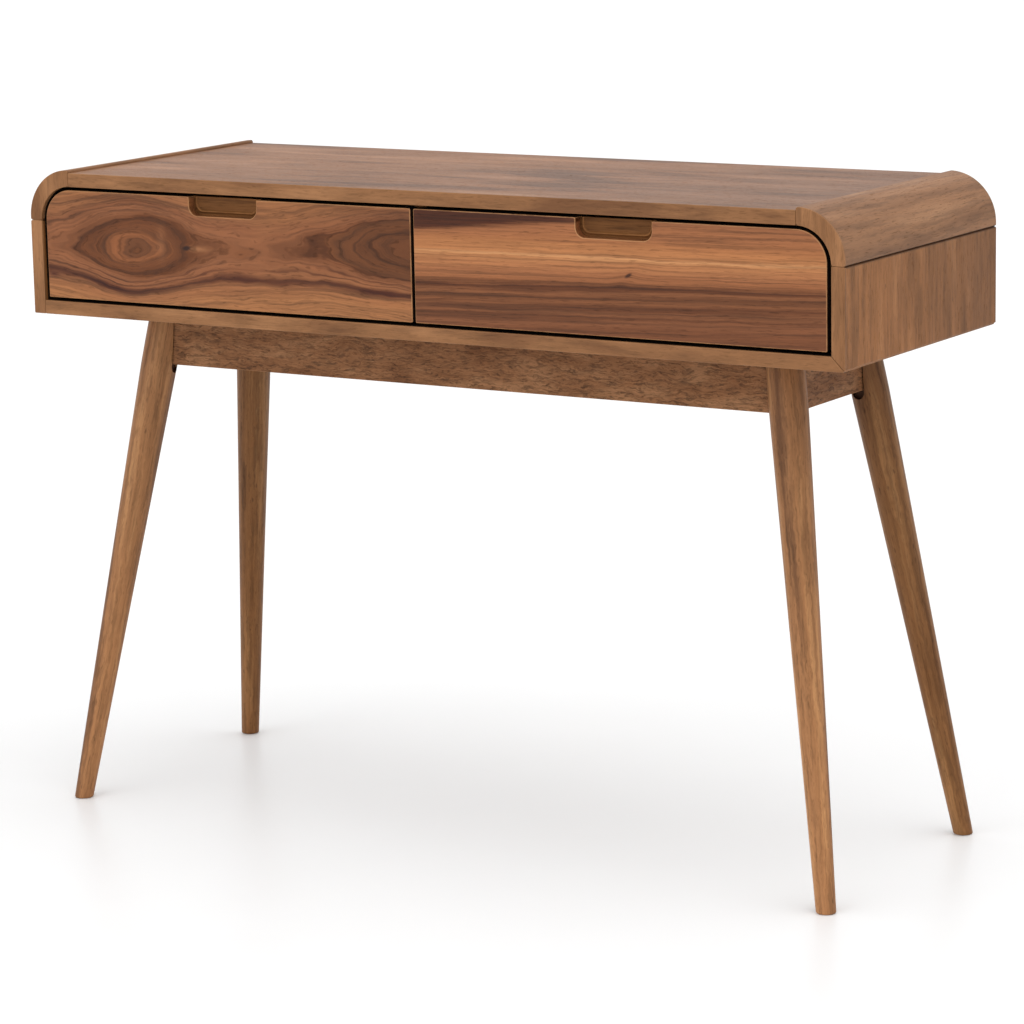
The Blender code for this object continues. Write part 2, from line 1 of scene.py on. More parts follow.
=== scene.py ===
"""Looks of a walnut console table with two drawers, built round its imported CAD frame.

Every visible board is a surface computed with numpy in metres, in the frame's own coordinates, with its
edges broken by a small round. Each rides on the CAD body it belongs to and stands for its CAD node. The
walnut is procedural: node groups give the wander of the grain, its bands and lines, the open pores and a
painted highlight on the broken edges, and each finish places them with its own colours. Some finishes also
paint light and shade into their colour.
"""

import logging
import math
from collections.abc import Callable
from dataclasses import dataclass, field, replace
from enum import Enum
from functools import partial

import bmesh
import bpy
import numpy as np
from mathutils import Euler, Matrix, Vector


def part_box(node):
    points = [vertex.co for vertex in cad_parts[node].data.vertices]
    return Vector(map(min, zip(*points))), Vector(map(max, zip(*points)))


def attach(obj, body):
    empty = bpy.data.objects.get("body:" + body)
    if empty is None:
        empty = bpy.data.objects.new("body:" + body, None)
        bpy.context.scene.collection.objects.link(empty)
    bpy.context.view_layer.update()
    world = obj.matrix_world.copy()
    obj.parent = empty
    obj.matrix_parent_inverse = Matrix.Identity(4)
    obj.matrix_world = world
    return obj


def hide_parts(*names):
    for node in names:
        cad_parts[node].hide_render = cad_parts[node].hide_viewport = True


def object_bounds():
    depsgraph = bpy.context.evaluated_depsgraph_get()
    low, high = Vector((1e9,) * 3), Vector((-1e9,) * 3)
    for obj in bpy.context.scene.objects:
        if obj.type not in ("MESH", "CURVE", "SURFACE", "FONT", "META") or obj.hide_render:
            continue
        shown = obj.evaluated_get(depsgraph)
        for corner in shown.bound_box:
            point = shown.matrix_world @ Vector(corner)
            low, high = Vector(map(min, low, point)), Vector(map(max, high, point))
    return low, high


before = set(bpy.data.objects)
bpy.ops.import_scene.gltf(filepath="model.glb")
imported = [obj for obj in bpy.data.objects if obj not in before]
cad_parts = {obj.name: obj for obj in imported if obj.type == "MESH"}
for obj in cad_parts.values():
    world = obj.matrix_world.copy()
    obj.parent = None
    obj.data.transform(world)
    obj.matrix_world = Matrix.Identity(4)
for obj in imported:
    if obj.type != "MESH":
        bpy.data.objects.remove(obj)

CAD_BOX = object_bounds()
SEAM = 0.0003             # joint line between two fixed boards
SIDES = {"left": -1, "right": 1}
ENDS = {"front": -1, "back": 1}
log = logging.getLogger("console_table")

Socket = bpy.types.NodeSocket
Tree = bpy.types.NodeTree
Piece = bpy.types.Object
Material = bpy.types.Material
Place = tuple[float, float, float]
Colour = tuple[float, float, float]
Stops = tuple[tuple[float, Colour], ...]


# ---------------------------------------------------------------- colours
def stain(red: float, green: float, blue: float) -> Colour:
    """Return a display colour as scene-linear light.

    Formula: each step out of 255 is raised by the display curve, a power of 2.4 with a linear toe.

    Args:
        red: display steps of red.
        green: display steps of green.
        blue: display steps of blue.

    Returns:
        The colour as three linear values.
    """
    steps = np.array((red, green, blue), float) / 255
    linear = np.where(steps <= 0.04045, steps / 12.92, ((steps + 0.055) / 1.055) ** 2.4)
    return tuple(float(value) for value in linear)


# ---------------------------------------------------------------- node building
class Web:
    """Adds and joins the nodes of one node tree."""

    def __init__(self, tree: Tree) -> None:
        """Keep the tree that nodes go into."""
        self.tree = tree

    def node(self, kind: str, **settings: object) -> bpy.types.Node:
        """Add a node and apply its settings.

        Args:
            kind: the node's type.
            settings: properties to set on it.

        Returns:
            The node.
        """
        made = self.tree.nodes.new(kind)
        for name, value in settings.items():
            setattr(made, name, value)
        return made

    def feed(self, socket: Socket, value: object) -> None:
        """Link a socket into another, or set it to a plain value.

        Args:
            socket: the socket that takes the value.
            value: a socket or a plain value.
        """
        if isinstance(value, Socket):
            self.tree.links.new(value, socket)
        else:
            socket.default_value = value

    def math(self, operation: str, *values: object, clamp: bool = False) -> Socket:
        """Add a Math node on one or two values.

        Args:
            operation: what the node does.
            values: sockets or numbers.
            clamp: whether the result stays in zero to one.

        Returns:
            The node's output.
        """
        made = self.node("ShaderNodeMath", operation=operation, use_clamp=clamp)
        for socket, value in zip(made.inputs, values):
            self.feed(socket, value)
        return made.outputs[0]

    def times(self, first: object, second: object) -> Socket:
        """Return a product."""
        return self.math("MULTIPLY", first, second)

    def plus(self, first: object, second: object) -> Socket:
        """Return a sum."""
        return self.math("ADD", first, second)

    def minus(self, first: object, second: object) -> Socket:
        """Return a difference."""
        return self.math("SUBTRACT", first, second)

    def own(self) -> Socket:
        """Return the piece's own coordinates."""
        return self.node("ShaderNodeTexCoord").outputs["Object"]

    def vector(self, operation: str, first: object, second: object = (0.0, 0.0, 0.0)) -> Socket:
        """Add a Vector Math node.

        Args:
            operation: what the node does.
            first: socket or vector.
            second: socket or vector, or a number to scale by.

        Returns:
            The vector output.
        """
        made = self.node("ShaderNodeVectorMath", operation=operation)
        self.feed(made.inputs[0], first)
        self.feed(made.inputs["Scale" if operation == "SCALE" else 1], second)
        return made.outputs["Vector"]

    def combine(self, x: object, y: object, z: object) -> Socket:
        """Join three values into a vector.

        Args:
            x: socket or number.
            y: socket or number.
            z: socket or number.

        Returns:
            The vector.
        """
        made = self.node("ShaderNodeCombineXYZ")
        for socket, value in zip(made.inputs, (x, y, z)):
            self.feed(socket, value)
        return made.outputs[0]

    def split(self, value: object) -> tuple[Socket, ...]:
        """Part a vector.

        Args:
            value: the vector's socket.

        Returns:
            Its three parts.
        """
        made = self.node("ShaderNodeSeparateXYZ")
        self.feed(made.inputs[0], value)
        return tuple(made.outputs)

    def noise(self, vector: object, scale: object, detail: float = 2.0, roughness: float = 0.5,
              colour: bool = False) -> Socket:
        """Add smooth noise.

        Args:
            vector: where the noise is read.
            scale: lumps to a unit.
            detail: finer layers added.
            roughness: strength of each finer layer.
            colour: whether to give three noises as a colour.

        Returns:
            The noise.
        """
        made = self.node("ShaderNodeTexNoise", noise_dimensions="3D")
        self.feed(made.inputs["Vector"], vector)
        self.feed(made.inputs["Scale"], scale)
        made.inputs["Detail"].default_value = detail
        made.inputs["Roughness"].default_value = roughness
        return made.outputs["Color" if colour else "Fac"]

    def span(self, value: object, low: object, high: object, to_low: object = 0.0, to_high: object = 1.0,
             smooth: bool = False) -> Socket:
        """Map one span of values onto another, held at its ends.

        Args:
            value: socket to map.
            low: where the first span starts.
            high: where it ends.
            to_low: where the second span starts.
            to_high: where it ends.
            smooth: whether both ends are eased.

        Returns:
            The mapped value.
        """
        made = self.node("ShaderNodeMapRange", interpolation_type="SMOOTHSTEP" if smooth else "LINEAR")
        for socket, given in zip(made.inputs, (value, low, high, to_low, to_high)):
            self.feed(socket, given)
        return made.outputs[0]

    def bell(self, x: object, z: object, place: tuple[float, float], width: float, height: float,
             slant: float = 0.0) -> Socket:
        """Return a round bell: the exponential of minus the squared distance in widths and heights.

        Args:
            x: first coordinate.
            z: second coordinate.
            place: the bell's middle.
            width: reach along the first.
            height: reach along the second.
            slant: rise of its long axis.

        Returns:
            The bell, one at its middle.
        """
        offset = self.minus(x, place[0])
        level = self.minus(self.minus(z, place[1]), self.times(offset, slant))
        across, up = self.math("DIVIDE", offset, width), self.math("DIVIDE", level, height)
        square = self.plus(self.times(across, across), self.times(up, up))
        return self.math("EXPONENT", self.times(square, -1.0))

    def ramp(self, factor: object, stops: Stops) -> Socket:
        """Return the colour that an eased ramp of stops gives a factor.

        Args:
            factor: where on the ramp.
            stops: places from zero to one, each with its colour.

        Returns:
            The colour socket.
        """
        made = self.node("ShaderNodeValToRGB")
        made.color_ramp.interpolation = "EASE"
        elements = made.color_ramp.elements
        while len(elements) < len(stops):
            elements.new(1.0)
        for element, (place, colour) in zip(elements, stops):
            element.position = place
            element.color = (*colour, 1.0)
        self.feed(made.inputs[0], factor)
        return made.outputs["Color"]

    def mix(self, factor: object, first: object, second: object) -> Socket:
        """Return one colour mixed into another.

        Args:
            factor: share of the second colour.
            first: colour socket or linear colour.
            second: colour socket or linear colour.

        Returns:
            The colour socket.
        """
        made = self.node("ShaderNodeMix", data_type="RGBA", blend_type="MIX")
        self.feed(made.inputs[0], factor)
        for socket, value in zip(made.inputs[6:8], (first, second)):
            self.feed(socket, (*value, 1.0) if isinstance(value, tuple) and len(value) == 3 else value)
        return made.outputs[2]

    def group(self, tree: Tree, **values: object) -> bpy.types.Node:
        """Place a node group.

        Args:
            tree: the group.
            values: its inputs by name; an underscore in a name stands for a space.

        Returns:
            The group's node.
        """
        made = self.node("ShaderNodeGroup", node_tree=tree)
        for name, value in values.items():
            self.feed(made.inputs[name.replace("_", " ")], value)
        return made


def new_group(name: str, inputs: dict[str, object], outputs: dict[str, str]) -> tuple[Web, dict, dict]:
    """Make an empty shader node group with named sockets.

    Args:
        name: the group's name.
        inputs: default of each input; None makes a vector.
        outputs: the kind of each output, "Float", "Vector" or "Color".

    Returns:
        The group's web, its input sockets and its output sockets, by name.
    """
    tree = bpy.data.node_groups.new(name, "ShaderNodeTree")
    for label, value in inputs.items():
        kind = "NodeSocketVector" if value is None else "NodeSocketFloat"
        socket = tree.interface.new_socket(label, in_out="INPUT", socket_type=kind)
        if value is not None:
            socket.default_value = value
    for label, kind in outputs.items():
        tree.interface.new_socket(label, in_out="OUTPUT", socket_type=f"NodeSocket{kind}")
    web = Web(tree)
    start, end = web.node("NodeGroupInput"), web.node("NodeGroupOutput")
    return web, {s.name: s for s in start.outputs if s.name}, {s.name: s for s in end.inputs if s.name}


class WoodEffects:
    """The node groups that the wood finishes share, each built once."""

    def __init__(self) -> None:
        """Build the four groups."""
        self.wander = self._wander()
        self.grain = self._grain()
        self.pores = self._pores()
        self.edge = self._edge()

    @staticmethod
    def _wander() -> Tree:
        """Bend straight grain: shift the two cross directions by slow noise that is long along the grain.

        Returns:
            The group.
        """
        web, given, out = new_group("grain_wander", {"Vector": None, "Wander": 0.004, "Reach": 2.5,
                                                     "Curl": 0.001}, {"Vector": "Vector"})
        stretched = web.vector("MULTIPLY", given["Vector"], (1.0, 4.0, 4.0))
        slow = web.vector("SUBTRACT", web.noise(stretched, given["Reach"], 2.0, 0.5, True), (0.5, 0.5, 0.5))
        tight = web.vector("MULTIPLY", given["Vector"], (1.0, 2.0, 2.0))
        quick = web.vector("SUBTRACT", web.noise(tight, 55.0, 2.0, 0.55, True), (0.5, 0.5, 0.5))
        bent = web.vector("ADD", web.vector("SCALE", slow, given["Wander"]),
                          web.vector("SCALE", quick, given["Curl"]))
        across = web.vector("MULTIPLY", bent, (0.0, 2.0, 2.0))
        web.feed(out["Vector"], web.vector("ADD", given["Vector"], across))
        return web.tree

    @staticmethod
    def _grain() -> Tree:
        """Give the broad bands, the growth lines and the fine fibre of a wood whose grain runs along X.

        Returns:
            The group.
        """
        web, given, out = new_group(
            "walnut_grain", {"Vector": None, "Bands": 30.0, "Band Stretch": 0.05, "Lines": 200.0,
                             "Line Stretch": 0.02, "Fibre": 900.0},
            {"Band": "Float", "Line": "Float", "Fibre": "Float"})
        band = web.vector("MULTIPLY", given["Vector"], web.combine(given["Band Stretch"], 1.0, 1.0))
        web.feed(out["Band"], web.span(web.noise(band, given["Bands"], 3.0, 0.55), 0.3, 0.7))
        line = web.vector("MULTIPLY", given["Vector"], web.combine(given["Line Stretch"], 1.0, 1.0))
        web.feed(out["Line"], web.span(web.noise(line, given["Lines"], 3.0, 0.62), 0.46, 0.66, smooth=True))
        fibre = web.vector("MULTIPLY", given["Vector"], (0.025, 1.0, 1.0))
        web.feed(out["Fibre"], web.span(web.noise(fibre, given["Fibre"], 2.0, 0.6), 0.3, 0.7))
        return web.tree

    @staticmethod
    def _pores() -> Tree:
        """Give short dark pores along X, and sparse larger flecks.

        Returns:
            The group.
        """
        web, given, out = new_group(
            "open_pores", {"Vector": None, "Pores": 800.0, "Flecks": 160.0, "Rarity": 0.75},
            {"Pore": "Float", "Fleck": "Float"})
        fine = web.vector("MULTIPLY", given["Vector"], (0.07, 1.0, 1.0))
        web.feed(out["Pore"], web.span(web.noise(fine, given["Pores"], 1.0, 0.5), 0.6, 0.7, smooth=True))
        cells = web.node("ShaderNodeTexVoronoi", feature="F1")
        web.feed(cells.inputs["Vector"], web.vector("MULTIPLY", given["Vector"], (0.3, 1.0, 1.0)))
        web.feed(cells.inputs["Scale"], given["Flecks"])
        near = web.span(cells.outputs["Distance"], 0.1, 0.24, 1.0, 0.0, True)
        chosen = web.math("GREATER_THAN", web.split(cells.outputs["Color"])[0], given["Rarity"])
        web.feed(out["Fleck"], web.times(near, chosen))
        return web.tree

    @staticmethod
    def _edge() -> Tree:
        """Give where a painted highlight lies on the rounded edges, from the piece's own arris values and a
        breaking noise.

        Returns:
            The group.
        """
        web, given, out = new_group("painted_edge_highlight", {"Vector": None, "Amount": 0.5}, {"Mask": "Float"})
        arris = web.node("ShaderNodeAttribute", attribute_name="arris")
        broken = web.span(web.noise(given["Vector"], 60.0, 3.0, 0.6), 0.35, 0.6, 0.45, 1.0)
        shown = web.times(arris.outputs["Fac"], broken)
        web.feed(out["Mask"], web.math("MULTIPLY", shown, given["Amount"], clamp=True))
        return web.tree


EFFECTS = WoodEffects()


def new_material(name: str) -> tuple[Web, bpy.types.Node, Material]:
    """Start a fresh finish.

    Args:
        name: the material's name.

    Returns:
        Its web, its Principled shader and the material.
    """
    material = bpy.data.materials.new(name)
    material.use_nodes = True
    return Web(material.node_tree), material.node_tree.nodes["Principled BSDF"], material


# ---------------------------------------------------------------- finishes
class GrainRun(Enum):
    """Which way a board's grain runs; the value turns that way onto the pattern's X."""

    LENGTH = (0.0, 0.0, 0.0)
    DEPTH = (0.0, 0.0, -math.pi / 2)
    HEIGHT = (0.0, math.pi / 2, 0.0)

    @property
    def turn(self) -> Euler:
        """Return the rotation that takes this direction onto the pattern's X."""
        return Euler(self.value)


@dataclass(frozen=True)
class Walnut:
    """A straight-grained walnut finish: frequencies to a metre, depths as shares of the colour."""

    name: str
    light: Colour
    middle: Colour
    dark: Colour
    bands: float = 30.0           # broad bands across the grain
    band_stretch: float = 0.05    # frequency along the grain for each across it
    lines: float = 200.0          # growth lines
    line_stretch: float = 0.02
    line_depth: float = 0.25
    fibre: float = 900.0
    fibre_depth: float = 0.10
    pore_depth: float = 0.35
    fleck_depth: float = 0.0
    fleck_rarity: float = 0.75    # share of places without a fleck
    wander: float = 0.005         # how far the grain strays, in metres
    reach: float = 2.5            # frequency of that straying
    curl: float = 0.0008          # how far it strays over short lengths
    edge: float = 0.35            # strength of the painted highlight on the broken edges
    roughness: float = 0.5
    specular: float = 0.3
    relief: float = 0.25          # strength of the bump
    haze: float = 0.018           # light that the lacquer adds to the wood's own colour
    gain: float = 0.88            # the wood's own colour for each part of what shows
    edge_highlight_colour: Colour = stain(190, 142, 100)
    groove: float = 0.0           # height of a groove across the board, darkened with a painted shadow; none if zero
    fade: tuple[float, ...] = ()  # axis, two places along it, and the colour's scale at each, mostly painted light and shade; none if empty
    knots: tuple[tuple[float, float, float], ...] = ()   # place along and across the pattern, and size

    def wood(self, colour: Colour) -> Colour:
        """Return the wood's own colour under its lacquer: what shows, less the haze, times the gain."""
        return tuple(max((part - self.haze) * self.gain, 0.002) for part in colour)

    def stops(self, given: Stops, low: float = 0.0, high: float = 1.0) -> Stops:
        """Return ramp stops for the wood's own colours, their places scaled from low..high to zero..one."""
        return tuple(((at - low) / (high - low), self.wood(colour)) for at, colour in given)

    def placed(self, web: Web, turn: Euler, shift: Place) -> Socket:
        """Turn the piece's own coordinates so that the grain runs along X.

        Args:
            web: the material's web.
            turn: rotation of the pattern.
            shift: where in the pattern the board is cut.

        Returns:
            The pattern's coordinates.
        """
        source = web.own()
        place = web.node("ShaderNodeMapping", vector_type="POINT")
        web.feed(place.inputs["Vector"], source)
        place.inputs["Rotation"].default_value = tuple(turn)
        place.inputs["Location"].default_value = shift
        return place.outputs[0]

    def tone(self, web: Web, vector: Socket, grain: bpy.types.Node) -> Socket:
        """Return the wood's own colour before lines, fibre and pores.

        Args:
            web: the material's web.
            vector: the pattern's coordinates.
            grain: the placed grain group.

        Returns:
            The colour.
        """
        patch = web.span(web.noise(web.vector("MULTIPLY", vector, (0.35, 1.0, 1.0)), 9.0, 2.0), 0.3, 0.7)
        mixed = web.plus(web.times(grain.outputs["Band"], 0.7), web.times(patch, 0.3))
        return web.ramp(mixed, self.stops(((0.15, self.dark), (0.5, self.middle), (0.85, self.light))))

    def dress(self, label: str, turn: Euler, shift: Place) -> Material:
        """Make the finish for one board.

        Args:
            label: the board's name.
            turn: rotation that takes the board's grain onto the pattern's X.
            shift: where in the pattern the board is cut.

        Returns:
            The material.
        """
        web, shader, material = new_material(f"{self.name}_{label}")
        raw = self.placed(web, turn, shift)
        vector = web.group(EFFECTS.wander, Vector=raw, Wander=self.wander, Reach=self.reach,
                           Curl=self.curl).outputs["Vector"]
        vector = self.drawn(web, vector)
        grain = web.group(EFFECTS.grain, Vector=vector, Bands=self.bands, Band_Stretch=self.band_stretch,
                          Lines=self.lines, Line_Stretch=self.line_stretch, Fibre=self.fibre)
        pores = web.group(EFFECTS.pores, Vector=vector, Rarity=self.fleck_rarity)
        line, fibre, pore = grain.outputs["Line"], grain.outputs["Fibre"], pores.outputs["Pore"]
        colour = self.tone(web, vector, grain)
        shade = web.times(web.span(line, 0.0, 1.0, 1.0 + self.line_depth * 0.35, 1.0 - self.line_depth),
                          web.span(fibre, 0.0, 1.0, 1.0 - self.fibre_depth, 1.0 + self.fibre_depth))
        colour = web.vector("SCALE", colour, shade)
        pitted = web.vector("SCALE", colour, 0.45)
        colour = web.mix(web.times(pore, self.pore_depth), colour, pitted)
        if self.fleck_depth > 0:
            colour = web.mix(web.times(pores.outputs["Fleck"], self.fleck_depth), colour, pitted)
        for along, across, size in self.knots:
            place = web.split(raw)
            smudge = web.bell(place[0], place[2], (along, across), size * 0.45, size * 0.30)
            colour = web.vector("SCALE", colour, web.span(smudge, 0.1, 1.0, 1.0, 0.62, True))
        # painted highlight: the rounded edges mixed towards the edge highlight colour
        highlight_mask = web.group(EFFECTS.edge, Vector=raw, Amount=self.edge).outputs["Mask"]
        colour = web.mix(highlight_mask, colour, self.wood(self.edge_highlight_colour))
        # the colour scaled along one axis: painted light and shade on the sides, corner pieces and legs
        if self.fade:
            along = web.split(web.own())[int(self.fade[0])]
            colour = web.vector("SCALE", colour, web.span(along, *self.fade[1:], smooth=True))
        # painted shadow: the colour darkened within three millimetres of the groove's height
        if self.groove:
            height = web.split(web.own())[2]
            away = web.math("ABSOLUTE", web.minus(height, self.groove))
            colour = web.mix(web.span(away, 0.0009, 0.0030, 0.75, 0.0, True), colour,
                             self.wood(stain(70, 50, 40)))
        web.feed(shader.inputs["Base Color"], colour)
        sheen = web.span(grain.outputs["Band"], 0.0, 1.0, self.roughness + 0.04, self.roughness - 0.04)
        rough = web.plus(sheen, web.times(pore, 0.2))
        web.feed(shader.inputs["Roughness"], rough)
        height = web.minus(web.times(fibre, 0.35), web.plus(pore, web.times(line, 0.3)))
        bump = web.node("ShaderNodeBump")
        bump.inputs["Strength"].default_value = self.relief
        bump.inputs["Distance"].default_value = 0.0002
        web.feed(bump.inputs["Height"], height)
        web.feed(shader.inputs["Normal"], bump.outputs[0])
        shader.inputs["IOR"].default_value = 1.45
        shader.inputs["Specular IOR Level"].default_value = self.specular
        return material

    def drawn(self, web: Web, vector: Socket) -> Socket:
        """Crowd the pattern's coordinates together at each knot.

        Formula: height gains 1.6 times its distance from the knot's, times a bell round the knot.

        Args:
            web: the material's web.
            vector: the pattern's coordinates.

        Returns:
            The bent coordinates.
        """
        for along, across, size in self.knots:
            x, y, z = web.split(vector)
            pull = web.times(web.bell(x, z, (along, across), size, size * 0.7), 1.6)
            level = web.minus(z, across)
            vector = web.combine(x, y, web.plus(z, web.times(level, pull)))
        return vector


@dataclass(frozen=True)
class HeartFigure(Walnut):
    """A board sawn close to the heart: an eye near one end, and arches that point at it from the other.

    Formula: a point's growth ring is its distance from the heart, the root of the sum of squares of its
    height above or below the heart line and of the depth of the saw cut, which dips at the eye and at the
    arches.
    """

    heart: float = 0.762          # height of the heart line
    rise: float = 0.0145          # how much higher that line is at the arches
    depth: float = 0.056          # saw cut to heart between the two
    eye: tuple[float, float, float, float] = (-0.432, 0.077, 0.080, 0.024)   # place, widths, dip
    arch: tuple[float, float, float, float] = (0.020, 0.1275, 0.1275, 0.024)
    knot: tuple[float, float] = (-0.348, 0.7625)
    saddle: tuple[float, float] = (-0.235, 0.768)     # where the rings part, and the lines fade out
    rings: Stops = ()
    arch_rings: Stops = ()
    ring_span: tuple[float, float] = (0.028, 0.088)
    streak: float = 0.068         # growth ring that is a dark streak, below the heart only
    streak_colour: Colour = stain(88, 56, 43)
    blots: tuple[tuple[tuple[float, float], float, float, float, Colour], ...] = (   # place to tint
        ((-0.328, 0.7622), 0.016, 0.0036, 0.36, stain(204, 146, 104)),
        ((-0.388, 0.7680), 0.007, 0.0200, 0.45, stain(176, 120, 86)),
        ((-0.498, 0.7780), 0.034, 0.0240, 0.40, stain(94, 62, 48)),
        ((-0.372, 0.7700), 0.030, 0.0200, 0.30, stain(112, 74, 55)),
        ((-0.566, 0.7180), 0.012, 0.0040, 0.75, stain(78, 48, 38)),
        ((-0.470, 0.8220), 0.080, 0.0040, 0.45, stain(98, 64, 49)),
        ((-0.060, 0.8240), 0.090, 0.0030, 0.40, stain(98, 64, 49)))

    def dip(self, web: Web, x: object, shape: tuple[float, float, float, float]) -> Socket:
        """Return a dip: its depth times the exponential of minus the squared offset over its width.

        Args:
            web: the material's web.
            x: place along the board.
            shape: the dip's place, widths to left and right, and depth.

        Returns:
            The dip.
        """
        place, left, right, deep = shape
        offset = web.minus(x, place)
        side = web.math("GREATER_THAN", offset, 0.0)
        width = web.plus(left, web.times(side, right - left))
        ratio = web.math("DIVIDE", offset, width)
        return web.times(web.math("EXPONENT", web.times(web.times(ratio, ratio), -1.0)), deep)

    def heart_line(self, web: Web, x: object) -> Socket:
        """Return the height of the heart line at a place along the board."""
        return web.span(x, -0.300, -0.060, self.heart, self.heart + self.rise, True)

    def drawn(self, web: Web, vector: Socket) -> Socket:
        """Put the growth-ring distance in place of the height.

        Args:
            web: the material's web.
            vector: the pattern's coordinates.

        Returns:
            Place along the board, thickness and ring distance.
        """
        x, y, z = web.split(vector)
        cut = web.minus(self.depth, web.plus(self.dip(web, x, self.eye), self.dip(web, x, self.arch)))
        up = web.minus(z, self.heart_line(web, x))
        ring = web.math("SQRT", web.plus(web.times(up, up), web.times(cut, cut)))
        for slow, scales, amount in ((3.0, (12.0, 30.0), 0.0115), (7.0, (15.0, 90.0), 0.0026)):
            noise = web.noise(web.combine(web.times(x, scales[0]), slow, web.times(z, scales[1])),
                              1.0, 2.0, 0.52)
            ring = web.plus(ring, web.times(web.minus(noise, 0.5), amount))
        bulge = web.times(web.bell(x, z, self.knot, 0.017, 0.006), 0.0045)
        return web.combine(x, y, web.plus(ring, bulge))

    def contours(self, web: Web, vector: Socket, ring: object) -> Socket:
        """Return the shade of thin dark lines: the crests of a sine of ring distance, broken by noise.

        Args:
            web: the material's web.
            vector: the pattern's coordinates.
            ring: ring distance.

        Returns:
            The shade to multiply by.
        """
        wave = web.math("SINE", web.times(ring, 2 * math.pi / 0.0043))
        crest = web.span(wave, 0.55, 1.0, smooth=True)
        broken = web.span(web.noise(web.vector("MULTIPLY", vector, (6.0, 1.0, 130.0)), 1.0, 2.0), 0.40, 0.58)
        x, _, z = web.split(web.own())
        flat = web.span(web.bell(x, z, self.saddle, 0.070, 0.018), 0.0, 0.6, 1.0, 0.12, True)
        return web.span(web.times(web.times(crest, broken), flat), 0.0, 1.0, 1.02, 0.85)

    def dark_streak(self, web: Web, x: object, z: object, ring: object) -> Socket:
        """Return where the dark streak and the thinner lines above it lie, below the heart line.

        Formula: one minus the ring's distance from the streak's over the streak's uneven width.

        Args:
            web: the material's web.
            x: place along the board.
            z: height.
            ring: ring distance.

        Returns:
            The mask.
        """
        below = web.span(web.minus(z, self.heart_line(web, x)), -0.018, -0.032, 0.0, 1.0, True)
        uneven = web.noise(web.combine(web.times(x, 7.0), 1.0, web.times(z, 40.0)), 1.0, 2.0, 0.5)
        width = web.span(uneven, 0.3, 0.7, 0.0036, 0.0075)
        away = web.math("ABSOLUTE", web.minus(ring, self.streak))
        body = web.span(web.math("DIVIDE", away, width), 0.05, 1.0, 1.0, 0.0, True)
        strong = web.times(body, web.span(uneven, 0.3, 0.62, 0.65, 1.0))
        thin = web.span(web.math("SINE", web.times(ring, 2 * math.pi / 0.0040)), 0.2, 1.0, 0.0, 0.7, True)
        near = web.times(web.span(ring, 0.0535, 0.058, 0.0, 1.0, True),
                         web.span(ring, 0.0665, 0.0645, 0.0, 1.0, True))
        lines = web.times(web.times(thin, near), web.span(uneven, 0.35, 0.6, 0.2, 1.0))
        return web.times(below, web.math("MAXIMUM", strong, lines))

    def tone(self, web: Web, vector: Socket, grain: bpy.types.Node) -> Socket:
        """Return the colour of each growth ring, darker towards the upper edge and at the knot.

        Args:
            web: the material's web.
            vector: the pattern's coordinates.
            grain: the placed grain group.

        Returns:
            The colour.
        """
        ring = web.split(vector)[2]
        soft = web.times(web.minus(grain.outputs["Band"], 0.5), 0.0050)
        low, high = self.ring_span
        place = web.span(web.plus(ring, soft), low, high)
        x, _, z = web.split(web.own())
        arches = web.span(x, -0.270, -0.210, smooth=True)
        colour = web.mix(arches, web.ramp(place, self.stops(self.rings, low, high)),
                         web.ramp(place, self.stops(self.arch_rings, low, high)))
        colour = web.vector("SCALE", colour, self.contours(web, vector, ring))
        dark = self.dark_streak(web, x, z, web.plus(ring, web.times(soft, 0.4)))
        colour = web.mix(dark, colour, self.wood(self.streak_colour))
        smoke = web.span(web.noise(web.combine(web.times(x, 7.0), 2.0, web.times(z, 75.0)), 1.0,
                                   3.0, 0.6), 0.42, 0.62, smooth=True)
        high_up = web.times(smoke, web.span(z, 0.792, 0.812, 0.0, 1.0, True))
        colour = web.vector("SCALE", colour, web.span(high_up, 0.0, 1.0, 1.0, 0.72))
        for place, width, height, amount, tint in self.blots:
            blot = web.times(web.bell(x, z, place, width, height), amount)
            colour = web.mix(blot, colour, self.wood(tint))
        spot = web.span(web.bell(x, z, self.knot, 0.0074, 0.0038, 0.1), 0.2, 0.85, smooth=True)
        return web.mix(web.times(spot, 0.88), colour, self.wood(stain(56, 30, 20)))


